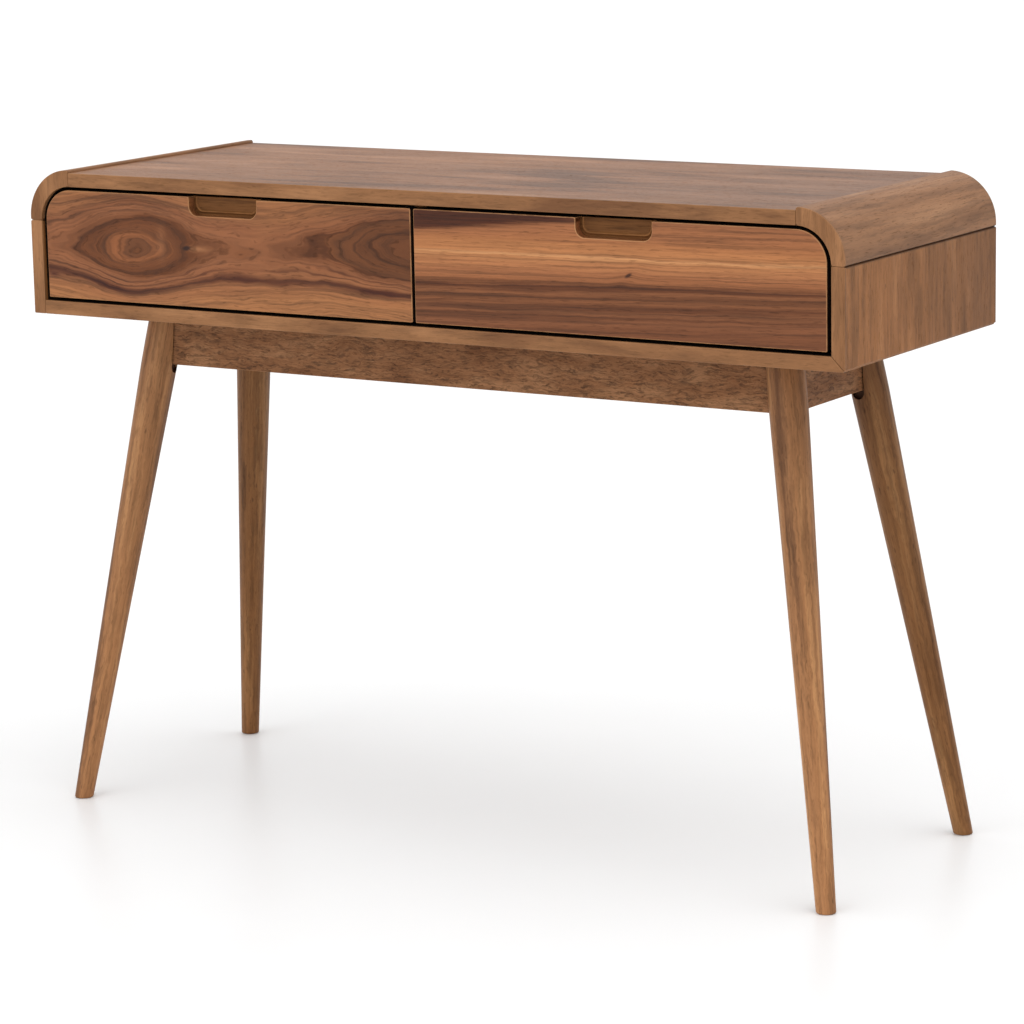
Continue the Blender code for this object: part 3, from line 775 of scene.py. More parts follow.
@dataclass(frozen=True)
class StripeFigure(Walnut):
    """A board sawn from sapwood into heartwood: level bands from gold to purple brown, and one pin knot."""

    tilt: tuple[float, float] = (0.037, 0.012)    # rise along the board: dark bands, gold bands
    level: float = 0.030          # where along the board the band heights are given
    knot: tuple[float, float] = (0.309, 0.7625)
    bands_at: Stops = ()
    band_span: tuple[float, float] = (0.684, 0.832)
    shade: tuple[float, float, float] = (0.801, 0.070, 0.008)   # dark corner: height, slope, softness
    shade_colour: Colour = stain(83, 53, 42)

    def drawn(self, web: Web, vector: Socket) -> Socket:
        """Level the slanting bands, and part them round the knot.

        Args:
            web: the material's web.
            vector: the pattern's coordinates.

        Returns:
            The levelled coordinates.
        """
        x, y, z = web.split(vector)
        tilt = web.span(z, 0.742, 0.776, *self.tilt, True)
        level = web.minus(z, web.times(web.minus(x, self.level), tilt))
        wave = web.noise(web.combine(web.times(x, 13.0), 5.0, web.times(z, 45.0)), 1.0, 3.0, 0.55)
        level = web.plus(level, web.times(web.minus(wave, 0.5), 0.0050))
        parting = web.times(web.bell(x, z, self.knot, 0.022, 0.011, 0.45), -0.0035)
        return web.combine(x, y, web.plus(level, parting))

    def tone(self, web: Web, vector: Socket, grain: bpy.types.Node) -> Socket:
        """Return the colour of each band, the dark upper corner and the knot.

        Args:
            web: the material's web.
            vector: the pattern's coordinates.
            grain: the placed grain group.

        Returns:
            The colour.
        """
        height = web.split(vector)[2]
        soft = web.times(web.minus(grain.outputs["Band"], 0.5), 0.0095)
        low, high = self.band_span
        place = web.span(web.plus(height, soft), low, high)
        colour = web.ramp(place, self.stops(self.bands_at, low, high))
        x, _, z = web.split(web.own())
        base, slope, softness = self.shade
        over = web.minus(web.plus(z, soft), web.times(x, slope))
        corner = web.span(over, base, base + softness, smooth=True)
        fade = web.span(x, 0.200, 0.340, 1.0, 0.0, True)
        colour = web.mix(web.times(corner, fade), colour, self.wood(self.shade_colour))
        spot = web.span(web.bell(x, z, self.knot, 0.0062, 0.0030, 0.45), 0.25, 0.9, smooth=True)
        return web.mix(web.times(spot, 0.8), colour, self.wood(stain(56, 34, 29)))


@dataclass(frozen=True)
class Steel:
    """A plain metal finish with a fine mottle, for the fasteners and the slides."""

    name: str
    colour: Colour
    roughness: float
    mottle: float
    stretch: tuple[float, float, float] = (1.0, 1.0, 1.0)

    def dress(self, label: str) -> Material:
        """Make the finish for one piece.

        Args:
            label: the piece's name.

        Returns:
            The material.
        """
        web, shader, material = new_material(f"{self.name}_{label}")
        vector = web.vector("MULTIPLY", web.own(), self.stretch)
        coarse = web.span(web.noise(vector, 420.0, 3.0, 0.6), 0.3, 0.7)
        shade = web.span(coarse, 0.0, 1.0, 1.0 - self.mottle, 1.0 + self.mottle)
        web.feed(shader.inputs["Base Color"], web.vector("SCALE", self.colour[:3], shade))
        rough = web.span(coarse, 0.0, 1.0, self.roughness - 0.08, self.roughness + 0.08)
        web.feed(shader.inputs["Roughness"], rough)
        shader.inputs["Metallic"].default_value = 1.0
        bump = web.node("ShaderNodeBump")
        bump.inputs["Strength"].default_value = 0.15
        bump.inputs["Distance"].default_value = 0.00005
        web.feed(bump.inputs["Height"], coarse)
        web.feed(shader.inputs["Normal"], bump.outputs[0])
        return material


# painted shade: near-black walnut for the walls of the case's hollow and the drawer fronts' edges, where the
# gaps show only shade
HOLLOW_SHADE = Walnut(
    "inside_painted_shade", stain(50, 35, 27), stain(40, 28, 22), stain(32, 23, 18), bands=30.0, haze=0.0,
    roughness=0.7, specular=0.15, edge=0.0)
# its fade darkens the top towards its right end
CASE_TOP = Walnut(
    "top_veneer", stain(162, 110, 70), stain(143, 96, 61), stain(114, 80, 58), bands=22.0,
    band_stretch=0.16, lines=110.0, line_stretch=0.06, line_depth=0.16, fibre_depth=0.08, pore_depth=0.3,
    wander=0.020, curl=0.004, roughness=0.42, specular=0.24, haze=0.020, fade=(0, 0.05, 0.55, 1.0, 0.78))
# its fade is painted light: the sides lighter towards the front, darker towards the back
CASE_SIDE = Walnut(
    "side_veneer", stain(164, 113, 72), stain(148, 100, 63), stain(130, 89, 58), bands=40.0,
    band_stretch=0.16, lines=150.0, line_stretch=0.05, line_depth=0.17, fibre=600.0, fibre_depth=0.12,
    pore_depth=0.5, fleck_depth=0.6, fleck_rarity=0.85, wander=0.014, curl=0.0022, specular=0.2,
    haze=0.018, gain=0.78, fade=(1, -0.21, 0.21, 1.19, 0.86))
# its fade is painted shade: the corner pieces darker towards their lower end
CORNER = Walnut(
    "corner_walnut", stain(176, 130, 94), stain(158, 114, 81), stain(134, 96, 69), bands=32.0,
    band_stretch=0.10, lines=130.0, line_stretch=0.06, line_depth=0.2, fleck_depth=0.7, fleck_rarity=0.90,
    pore_depth=0.5, wander=0.010, curl=0.0018, specular=0.25, haze=0.014, gain=0.80,
    fade=(2, 0.800, 0.845, 0.91, 1.0))
EDGE_WOOD = Walnut(
    "edge_walnut", stain(168, 120, 82), stain(148, 104, 70), stain(124, 85, 58), bands=30.0,
    band_stretch=0.2, lines=120.0, line_stretch=0.12, line_depth=0.14, wander=0.014, curl=0.002,
    edge=0.35, specular=0.2, haze=0.010, gain=0.82)
RAIL = Walnut(
    "rail_walnut", stain(148, 108, 78), stain(134, 95, 68), stain(118, 82, 59), bands=45.0,
    band_stretch=0.3, lines=340.0, line_stretch=0.16, line_depth=0.42, fibre=520.0, fibre_depth=0.20,
    pore_depth=0.6, fleck_depth=0.7, fleck_rarity=0.80, wander=0.014, curl=0.0050, roughness=0.62,
    relief=0.5, specular=0.2,
    knots=((-0.407, 0.783, 0.016), (-0.165, 0.800, 0.022), (0.330, 0.770, 0.018)))
LEG = Walnut(
    "leg_walnut", stain(184, 135, 92), stain(158, 112, 76), stain(120, 84, 59), bands=60.0,
    band_stretch=0.035, lines=200.0, line_stretch=0.05, line_depth=0.22, fibre=520.0, fibre_depth=0.14,
    pore_depth=0.45, fleck_depth=0.75, fleck_rarity=0.88, wander=0.008, curl=0.0026, roughness=0.46,
    specular=0.22, haze=0.014)
# lit and shaded copies of one finish: painted light on the front legs, lighter towards the foot, and painted
# shade on the back legs, darker all over
LEGS_LIT_AND_SHADED = {"front": replace(LEG, fade=(2, 0.05, 0.62, 1.15, 0.86)),
        "back": replace(LEG, haze=0.030, fade=(2, 0.0, 0.62, 0.70, 0.60))}
# painted shade: dark walnut for the walls of the legs' slots
SLOT_SHADE = Walnut(
    "slot_painted_shade", stain(84, 56, 40), stain(70, 46, 33), stain(54, 36, 26), bands=40.0, haze=0.0,
    roughness=0.7, specular=0.1, edge=0.0)
BLOCK = Walnut(
    "block_wood", stain(176, 138, 100), stain(160, 122, 86), stain(136, 102, 70), bands=50.0, lines=160.0,
    roughness=0.7)
BOX_WOOD = Walnut(
    "box_wood", stain(206, 172, 130), stain(194, 158, 116), stain(176, 140, 100), bands=22.0,
    band_stretch=0.04, lines=110.0, line_depth=0.10, fibre_depth=0.05, pore_depth=0.15, roughness=0.5,
    edge_highlight_colour=stain(214, 184, 146))
# its edge highlight is painted on the plate's edges and on the crest of its bead
PULL = Walnut(
    "pull_wood", stain(136, 90, 52), stain(116, 76, 44), stain(94, 61, 36), bands=60.0, band_stretch=0.08,
    lines=180.0, line_stretch=0.05, line_depth=0.25, roughness=0.6, haze=0.004, edge=0.55,
    edge_highlight_colour=stain(170, 118, 72), specular=0.12)
BACK = Walnut(
    "back_veneer", stain(148, 106, 77), stain(132, 93, 67), stain(112, 79, 58), bands=20.0, lines=130.0,
    line_depth=0.15, roughness=0.6)
LEFT_FRONT = HeartFigure(
    "heart_walnut", stain(150, 100, 70), stain(130, 84, 60), stain(105, 68, 50), bands=190.0,
    band_stretch=0.03, lines=230.0, line_stretch=0.014, line_depth=0.32, fibre=480.0, fibre_depth=0.16,
    pore_depth=0.5, wander=0.0, curl=0.0008, roughness=0.44, edge=1.0, edge_highlight_colour=stain(206, 154, 110),
    specular=0.25, gain=0.74, haze=0.027, rings=(
        (0.028, stain(142, 91, 63)), (0.0320, stain(138, 89, 62)), (0.0330, stain(122, 79, 56)),
        (0.0340, stain(139, 90, 63)), (0.0385, stain(152, 98, 68)), (0.0405, stain(138, 89, 62)),
        (0.0440, stain(128, 82, 58)), (0.0475, stain(118, 76, 55)), (0.0500, stain(110, 71, 52)),
        (0.0525, stain(136, 89, 64)), (0.0580, stain(152, 101, 73)), (0.0640, stain(144, 95, 69)),
        (0.0700, stain(161, 108, 76)), (0.088, stain(175, 120, 82))),
    arch_rings=(
        (0.028, stain(116, 76, 56)), (0.0380, stain(114, 75, 55)), (0.0390, stain(98, 65, 49)),
        (0.0400, stain(114, 75, 55)), (0.0490, stain(118, 78, 57)), (0.0505, stain(98, 65, 50)),
        (0.0520, stain(134, 88, 64)), (0.0560, stain(150, 99, 71)), (0.0620, stain(156, 104, 74)),
        (0.0700, stain(165, 111, 77)), (0.088, stain(175, 120, 82))))
RIGHT_FRONT = StripeFigure(
    "stripe_walnut", stain(170, 114, 76), stain(140, 92, 64), stain(105, 68, 50), bands=120.0,
    band_stretch=0.02, lines=250.0, line_stretch=0.012, line_depth=0.27, fibre=480.0, fibre_depth=0.15,
    pore_depth=0.5, wander=0.003, curl=0.0005, roughness=0.44, edge=1.0, edge_highlight_colour=stain(196, 146, 104),
    specular=0.25, haze=0.022, bands_at=(
        (0.684, stain(120, 78, 57)), (0.694, stain(128, 84, 61)), (0.700, stain(108, 71, 53)),
        (0.706, stain(126, 83, 60)), (0.712, stain(104, 68, 51)), (0.719, stain(128, 84, 60)),
        (0.725, stain(106, 70, 52)), (0.731, stain(132, 87, 62)), (0.7355, stain(100, 65, 49)),
        (0.7385, stain(94, 61, 47)), (0.742, stain(124, 81, 58)), (0.748, stain(150, 98, 68)),
        (0.757, stain(159, 105, 73)), (0.766, stain(170, 114, 78)), (0.774, stain(177, 121, 82)),
        (0.7775, stain(194, 139, 96)), (0.781, stain(178, 121, 81)), (0.790, stain(174, 117, 78)),
        (0.797, stain(166, 110, 74)), (0.806, stain(158, 104, 72)), (0.832, stain(142, 94, 67))))
ZINC = Steel("zinc_steel", stain(196, 196, 190), 0.42, 0.16)
SLIDE_STEEL = Steel("slide_steel", stain(164, 166, 169), 0.40, 0.10, (1.0, 0.05, 1.0))


# ---------------------------------------------------------------- surfaces
HOLD = 0.0003             # distance of the extra rings that keep faces flat beyond a rounded edge
ARC_STEPS = 4             # segments in a rounded edge
END_RINGS = ARC_STEPS + 3     # rings of a board's rounded end: its cap, its arc and the held flat
SHARP = math.radians(30)  # outline corners that turn more than this are rounded
WELD = 1e-6               # vertices nearer than this are one
Outline = np.ndarray
Ring = tuple[Outline, float, float]     # outline, place along the axis, arris value


def turns(outline: Outline) -> tuple[np.ndarray, np.ndarray, np.ndarray]:
    """Measure each corner of a closed outline.

    Args:
        outline: its corners in order.

    Returns:
        The way in, the way out and the angle turned, at each corner.
    """
    into = outline - np.roll(outline, 1, axis=0)
    into = into / np.linalg.norm(into, axis=1, keepdims=True)
    away = np.roll(into, -1, axis=0)
    angle = np.arctan2(into[:, 0] * away[:, 1] - into[:, 1] * away[:, 0], (into * away).sum(1))
    return into, away, angle


def eased(outline: Outline, arris: float) -> tuple[Outline, np.ndarray]:
    """Round the sharp corners of a closed outline.

    Formula: a corner that turns more than thirty degrees becomes an arc tangent to both edges, which starts
    the radius times the tangent of half the turn before it, with one more point just beyond each end. The
    radius is a little more than the arris, so that the outline can still be moved in by the arris.

    Args:
        outline: corners, counter-clockwise.
        arris: radius of the quarter rounds that the outline's board gets at its two faces.

    Returns:
        The rounded outline and the arris value of each of its points.
    """
    radius, share = arris + 1.7 * HOLD, np.linspace(0, 1, ARC_STEPS + 1)
    into, away, angle = turns(outline)
    reach = np.linalg.norm(outline - np.roll(outline, 1, axis=0), axis=1)
    limit = 0.45 * np.minimum(reach, np.roll(reach, -1))
    start = np.minimum(radius * np.tan(np.abs(angle) / 2), limit)
    real = start / np.maximum(np.tan(np.abs(angle) / 2), 1e-9)
    side = np.stack([-into[:, 1], into[:, 0]], 1) * np.sign(angle)[:, None]
    first = outline - into * start[:, None]
    centre = first + side * real[:, None]
    sweep = angle[:, None] * share[None, :]
    spoke = (first - centre)[:, None, :]
    c, s = np.cos(sweep), np.sin(sweep)
    arc_points = centre[:, None, :] + np.stack([spoke[..., 0] * c - spoke[..., 1] * s,
                                                spoke[..., 0] * s + spoke[..., 1] * c], -1)
    spare = np.minimum(HOLD, 0.3 * limit)[:, None]
    table = np.concatenate([(first - into * spare)[:, None], arc_points,
                            (outline + away * start[:, None] + away * spare)[:, None]], axis=1)
    weight = np.concatenate([[0.0], np.sin(np.pi * share), [0.0]])
    weights = np.broadcast_to(weight, table.shape[:2]).copy()
    sharp = np.abs(angle) > SHARP
    keep = np.repeat(sharp[:, None], table.shape[1], axis=1)
    keep[:, 0] = True
    table[~sharp, 0] = outline[~sharp]
    weights[~sharp] = 0.0
    return table[keep], weights[keep]


def inset(outline: Outline, distance: float) -> Outline:
    """Move a closed outline inwards.

    Formula: each point goes along the sum of its two edge normals over one plus their dot product.

    Args:
        outline: its corners, counter-clockwise.
        distance: how far.

    Returns:
        The smaller outline.
    """
    into, away, _ = turns(outline)
    first = np.stack([-into[:, 1], into[:, 0]], 1)
    second = np.stack([-away[:, 1], away[:, 0]], 1)
    bisector = (first + second) / (1 + (first * second).sum(1))[:, None]
    return outline + bisector * distance


def arc(centre: tuple[float, float], radius: float, start: float, end: float, steps: int) -> Outline:
    """Return points at equal turns round a centre, angles in degrees, both ends included."""
    angles = np.radians(np.linspace(start, end, steps + 1))
    return np.stack([centre[0] + radius * np.cos(angles), centre[1] + radius * np.sin(angles)], 1)


def rectangle(low: tuple[float, float], high: tuple[float, float]) -> Outline:
    """Return a rectangle's corners, counter-clockwise."""
    return np.array([low, (high[0], low[1]), high, (low[0], high[1])])


def mirrored(outline: Outline, side: int) -> Outline:
    """Mirror an outline about zero and keep it counter-clockwise."""
    return outline if side > 0 else (outline * (-1, 1))[::-1]


def rounded_rings(outline: Outline, near: float, far: float, arris: float, edge: float = 0.0) -> list[Ring]:
    """Return the rings of a board between two planes, with quarter-round arrises at both.

    Formula: at an angle through the quarter circle the outline stands in by the radius times one minus its
    sine, and the ring lies in from the plane by the radius times one minus its cosine.

    Args:
        outline: the board's outline.
        near: first plane.
        far: second plane.
        arris: radius of the quarter rounds.
        edge: depth of the solid edge at the near plane, which gets a ring of its own; none if zero.

    Returns:
        The rings, from near to far.
    """
    angles = np.linspace(0, math.pi / 2, ARC_STEPS + 1)
    insets, depths, values = arris * (1 - np.sin(angles)), arris * (1 - np.cos(angles)), np.sin(2 * angles)
    rings = [(inset(outline, arris + HOLD), near, 0.0)]
    rings += [(inset(outline, i), near + d, v) for i, d, v in zip(insets, depths, values)]
    rings += [(outline, near + arris + HOLD, 0.0)]
    if edge:
        rings += [(outline, near + edge, 0.0)]
    rings += [(outline, far - arris - HOLD, 0.0)]
    rings += [(inset(outline, i), far - d, v) for i, d, v in zip(insets[::-1], depths[::-1], values[::-1])]
    rings += [(inset(outline, arris + HOLD), far, 0.0)]
    return rings


AXES = {"X": (1, 2, 0), "Y": (0, 2, 1), "Z": (0, 1, 2)}     # outline's two axes, then the board's


def loft(name: str, rings: list[Ring], axis: str, weights: np.ndarray | None = None,
         edge: float | None = None) -> Piece:
    """Carry an outline through rings along an axis, and close both ends.

    Args:
        name: the piece's name.
        rings: outlines of equal length with their places along the axis and arris values.
        axis: "X", "Y" or "Z".
        weights: arris value of each point of the outline.
        edge: faces nearer than this along the axis take the second material.

    Returns:
        The piece, smooth shaded, with its arris values in an attribute.
    """
    count = len(rings[0][0])
    u, v, w = AXES[axis]
    points = np.empty((len(rings), count, 3))
    points[..., [u, v]] = np.stack([ring[0] for ring in rings])
    points[..., w] = np.array([ring[1] for ring in rings])[:, None]
    values = np.repeat(np.array([ring[2] for ring in rings])[:, None], count, axis=1)
    if weights is not None:
        values[1:-1] = np.maximum(values[1:-1], weights[None, :])
    row, column = np.meshgrid(np.arange(len(rings) - 1), np.arange(count), indexing="ij")
    after = (column + 1) % count
    quads = np.stack([row * count + column, row * count + after, (row + 1) * count + after,
                      (row + 1) * count + column], -1).reshape(-1, 4)
    ends = np.arange(count), np.arange(count) + (len(rings) - 1) * count
    faces = quads.tolist() + [end.tolist() for end in ends]
    piece = mesh_piece(name, points.reshape(-1, 3), faces, values.ravel())
    if edge is not None:
        paint(piece, lambda middles: middles[:, w] < edge, 1)
    return piece


def mesh_piece(name: str, points: np.ndarray, faces: list[list[int]],
               values: np.ndarray | None = None) -> Piece:
    """Put points and faces into a new piece, weld its doubles and turn its faces outwards.

    Args:
        name: the piece's name.
        points: vertices.
        faces: vertex numbers of each face.
        values: arris value of each vertex.

    Returns:
        The piece, linked to the scene at the origin.
    """
    mesh = bpy.data.meshes.new(name)
    mesh.from_pydata(points.tolist(), [], faces)
    if values is not None:
        mesh.attributes.new("arris", "FLOAT", "POINT").data.foreach_set("value", values.astype(np.float32))
    work = bmesh.new()
    work.from_mesh(mesh)
    bmesh.ops.remove_doubles(work, verts=work.verts, dist=WELD)
    bmesh.ops.recalc_face_normals(work, faces=work.faces)
    work.to_mesh(mesh)
    work.free()
    mesh.shade_smooth()
    mesh.set_sharp_from_angle(angle=math.radians(50))
    piece = bpy.data.objects.new(name, mesh)
    bpy.context.scene.collection.objects.link(piece)
    return piece


def paint(piece: Piece, choose: Callable[[np.ndarray], np.ndarray], index: int) -> None:
    """Give some faces another material.

    Args:
        piece: the piece.
        choose: tells from the faces' middles which are meant.
        index: the material's place.
    """
    count = len(piece.data.polygons)
    middles, indices = np.empty(count * 3), np.empty(count, np.int32)
    piece.data.polygons.foreach_get("center", middles)
    piece.data.polygons.foreach_get("material_index", indices)
    indices[choose(middles.reshape(-1, 3))] = index
    piece.data.polygons.foreach_set("material_index", indices)


def box_of(node: str) -> tuple[np.ndarray, np.ndarray]:
    """Return a CAD node's lowest and highest corners."""
    low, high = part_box(node)
    return np.array(low), np.array(high)


def board(name: str, node: str, axis: str = "X", arris: float = 0.0006) -> Piece:
    """Make a rectangular board that fills a CAD node's box, with all its edges rounded.

    Args:
        name: the piece's name.
        node: the CAD node.
        axis: the axis it is lofted along.
        arris: radius of its edges.

    Returns:
        The board.
    """
    low, high = box_of(node)
    u, v, w = AXES[axis]
    outline, weights = eased(rectangle((low[u], low[v]), (high[u], high[v])), arris)
    return loft(name, rounded_rings(outline, low[w], high[w], arris), axis, weights)


# ---------------------------------------------------------------- assemblies
def install(piece: Piece, body: str, node: str, slot: str, *finishes: Material) -> None:
    """Dress a piece, let it stand for its CAD node, and report it.

    Args:
        piece: the piece.
        body: the CAD body it rides on.
        node: the CAD node it stands for.
        slot: the name its finish is known by; not used.
        finishes: its materials in order.
    """
    for finish in finishes:
        piece.data.materials.append(finish)
    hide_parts(node)
    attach(piece, body)
    log.info("%s: %d faces, rides on %s", piece.name, len(piece.data.polygons), body)


def cut_from(piece: Piece, cutters: list[Piece]) -> None:
    """Subtract closed shapes from a piece.

    Args:
        piece: the piece, whose mesh is replaced.
        cutters: the shapes, which are removed.
    """
    for cutter in cutters:
        modifier = piece.modifiers.new(cutter.name, "BOOLEAN")
        modifier.operation, modifier.solver, modifier.object = "DIFFERENCE", "EXACT", cutter
    graph = bpy.context.evaluated_depsgraph_get()
    mesh = bpy.data.meshes.new_from_object(piece.evaluated_get(graph))
    piece.modifiers.clear()
    piece.data = mesh
    for cutter in cutters:
        bpy.data.objects.remove(cutter)
    mesh.shade_smooth()
    mesh.set_sharp_from_angle(angle=math.radians(32))


@dataclass
class Case:
    """The case: top, two quarter-round corner pieces, two sides, bottom, back and divider."""

    inner_radius: float = 0.046
    outer_radius: float = 0.063
    lip_arris: float = 0.003      # radius of the crest's lip
    groove_half: float = 0.0015   # half the width of the groove under a corner piece
    groove_depth: float = 0.002
    edge_depth: float = 0.0035    # solid wood edging of the veneered boards
    shade_depth: float = 0.0070   # how far in the end walls keep their own colour before the painted shade
    arris: float = 0.0009
    arc_steps: int = 32
    end_x: float = field(init=False)
    inner_x: float = field(init=False)
    corner_x: float = field(init=False)
    corner_z: float = field(init=False)
    crest: float = field(init=False)
    ceiling: float = field(init=False)
    floor: float = field(init=False)
    underside: float = field(init=False)
    depth: tuple[float, float] = field(init=False)

    def __post_init__(self) -> None:
        """Read the case's places from its CAD nodes."""
        low, high = box_of("case_corner_right")
        self.end_x, self.crest, self.depth = high[0], high[2], (low[1], high[1])
        self.corner_x, self.corner_z = low[0], low[2] - SEAM
        self.inner_x = self.corner_x + self.inner_radius
        self.ceiling = self.corner_z + self.inner_radius
        low, high = box_of("case_bottom")
        self.underside, self.floor = low[2], high[2]

    def corner_outline(self) -> Outline:
        """Return a right corner piece: two quarter circles, and a small lip at the outer one's crest.

        Returns:
            The outline, counter-clockwise.
        """
        centre = (self.end_x - self.outer_radius, self.crest - self.outer_radius)
        lip_x = self.corner_x + self.lip_arris
        start = math.degrees(math.acos((lip_x - centre[0]) / self.outer_radius))
        low = self.corner_z + SEAM
        return np.concatenate([
            arc((self.corner_x, self.corner_z), self.inner_radius, 89.5, 0.5, self.arc_steps),
            [(self.inner_x, low), (self.end_x - self.groove_depth, low),
             (self.end_x, low + self.groove_half)],
            arc(centre, self.outer_radius, 0.5, start, self.arc_steps),
            arc((lip_x, self.crest - self.lip_arris), self.lip_arris, 96, 180, 10),
            [(self.corner_x, self.ceiling)],
        ])

    def side_outline(self, mitred: bool) -> Outline:
        """Return a right side board, with half of the groove above.

        Args:
            mitred: whether its lower end is mitred.

        Returns:
            The outline, counter-clockwise.
        """
        low = (self.floor + SEAM, self.underside + SEAM) if mitred else (self.underside, self.underside)
        groove = self.corner_z - self.groove_half
        return np.array([(self.inner_x, low[0]), (self.end_x, low[1]), (self.end_x, groove),
                         (self.end_x - self.groove_depth, self.corner_z), (self.inner_x, self.corner_z)])

    def bottom_outline(self) -> Outline:
        """Return the bottom panel, mitred at its right end and square at its left.

        Returns:
            The outline, counter-clockwise.
        """
        butt = self.inner_x - SEAM
        return np.array([(-butt, self.underside), (self.end_x - SEAM, self.underside), (butt, self.floor),
                         (-butt, self.floor)])

    def edged(self, name: str, outline: Outline, arris: float) -> Piece:
        """Make a board of the case from front to back: solid edge in front, painted shade on the hollow's
        walls.

        Args:
            name: the piece's name.
            outline: its section.
            arris: radius of its edges.

        Returns:
            The board.
        """
        shape, weights = eased(outline, arris)
        rings = rounded_rings(shape, *self.depth, arris, self.edge_depth)
        rings.insert(-END_RINGS, (shape, self.depth[0] + self.shade_depth, 0.0))
        piece = loft(name, rings, "Y", weights, self.depth[0] + self.edge_depth)
        # painted shade on the walls of the hollow
        paint(piece, self.within, 2)
        return piece

    def within(self, middles: np.ndarray) -> np.ndarray:
        """Tell which points lie on the walls of the case's hollow, behind the solid edging, where the
        painted shade goes.

        Args:
            middles: the points.

        Returns:
            True where they do.
        """
        x, y, z = np.abs(middles[:, 0]), middles[:, 1], middles[:, 2]
        slack, side_wall = 0.0005, self.corner_x + 0.01
        reach = np.hypot(np.maximum(x - self.corner_x, 0), np.maximum(z - self.corner_z, 0))
        start = self.depth[0] + np.where(x > side_wall, self.shade_depth, self.edge_depth)
        behind = (y > start) & (y < self.depth[1] - 2 * self.arris)
        return behind & (x < self.inner_x + slack) & (z > self.floor - slack) & (
            reach < self.inner_radius + slack)

    def build(self) -> None:
        """Build and dress the whole case."""
        along, up, deep = GrainRun.LENGTH.turn, GrainRun.HEIGHT.turn, GrainRun.DEPTH.turn
        low, high = box_of("case_top")
        top = self.edged("top_panel", rectangle((low[0], low[2]), (high[0], high[2])), self.arris)
        # painted shade, for the walls of the case's hollow
        inside = HOLLOW_SHADE.dress("case", deep, (0.0, 0.0, 0.0))
        install(top, "table", "case_top", "panel_walnut", CASE_TOP.dress("top", along, (0.3, 0.1, 0.2)),
                EDGE_WOOD.dress("top_edge", along, (0.9, 0.4, 0.13)), inside)
        bottom = self.edged("bottom_panel", self.bottom_outline(), self.arris)
        install(bottom, "table", "case_bottom", "panel_walnut",
                CASE_SIDE.dress("bottom", along, (1.3, 0.7, 0.5)),
                EDGE_WOOD.dress("bottom_edge", along, (2.1, 0.2, 0.31)), inside)
        # painted shadow along the groove under each corner piece
        bend, flat = replace(CORNER, groove=self.corner_z), replace(CASE_SIDE, groove=self.corner_z)
        for name, side in SIDES.items():
            corner = self.edged(f"corner_piece_{name}", mirrored(self.corner_outline(), side), self.arris)
            install(corner, "table", f"case_corner_{name}", "corner_walnut",
                    bend.dress(f"corner_{name}", deep, (0.5 * side, 1.1, 0.4)),
                    EDGE_WOOD.dress(f"corner_edge_{name}", up, (0.2, 0.3, 0.7 * side)), inside)
            shape = mirrored(self.side_outline(name == "right"), side)
            panel = self.edged(f"side_panel_{name}", shape, self.arris)
            install(panel, "table", f"case_side_{name}", "side_walnut",
                    flat.dress(f"side_{name}", up, (0.1, 0.6 * side, 0.25)),
                    EDGE_WOOD.dress(f"side_edge_{name}", up, (1.2, 0.1, 0.45 * side)), inside)
        self.build_back(along)

    def build_back(self, along: Euler) -> None:
        """Build the thin back panel and the divider between the drawers.

        Args:
            along: the turn for grain along the length.
        """
        low, high = box_of("case_back")
        radius = self.inner_radius - SEAM
        outline = np.concatenate([
            [(low[0], low[2]), (high[0], low[2])],
            arc((self.corner_x, self.corner_z), radius, 0, 90, self.arc_steps),
            arc((-self.corner_x, self.corner_z), radius, 90, 180, self.arc_steps)])
        shape, weights = eased(outline, 0.0005)
        back = loft("back_panel", rounded_rings(shape, low[1], high[1], 0.0005), "Y", weights)
        install(back, "table", "case_back", "back_veneer", BACK.dress("back", along, (0.4, 0.9, 1.3)))
        divider = board("divider", "case_divider", "Y")
        install(divider, "table", "case_divider", "panel_walnut",
                PULL.dress("divider", GrainRun.DEPTH.turn, (0.0, 0.2, 0.6)))


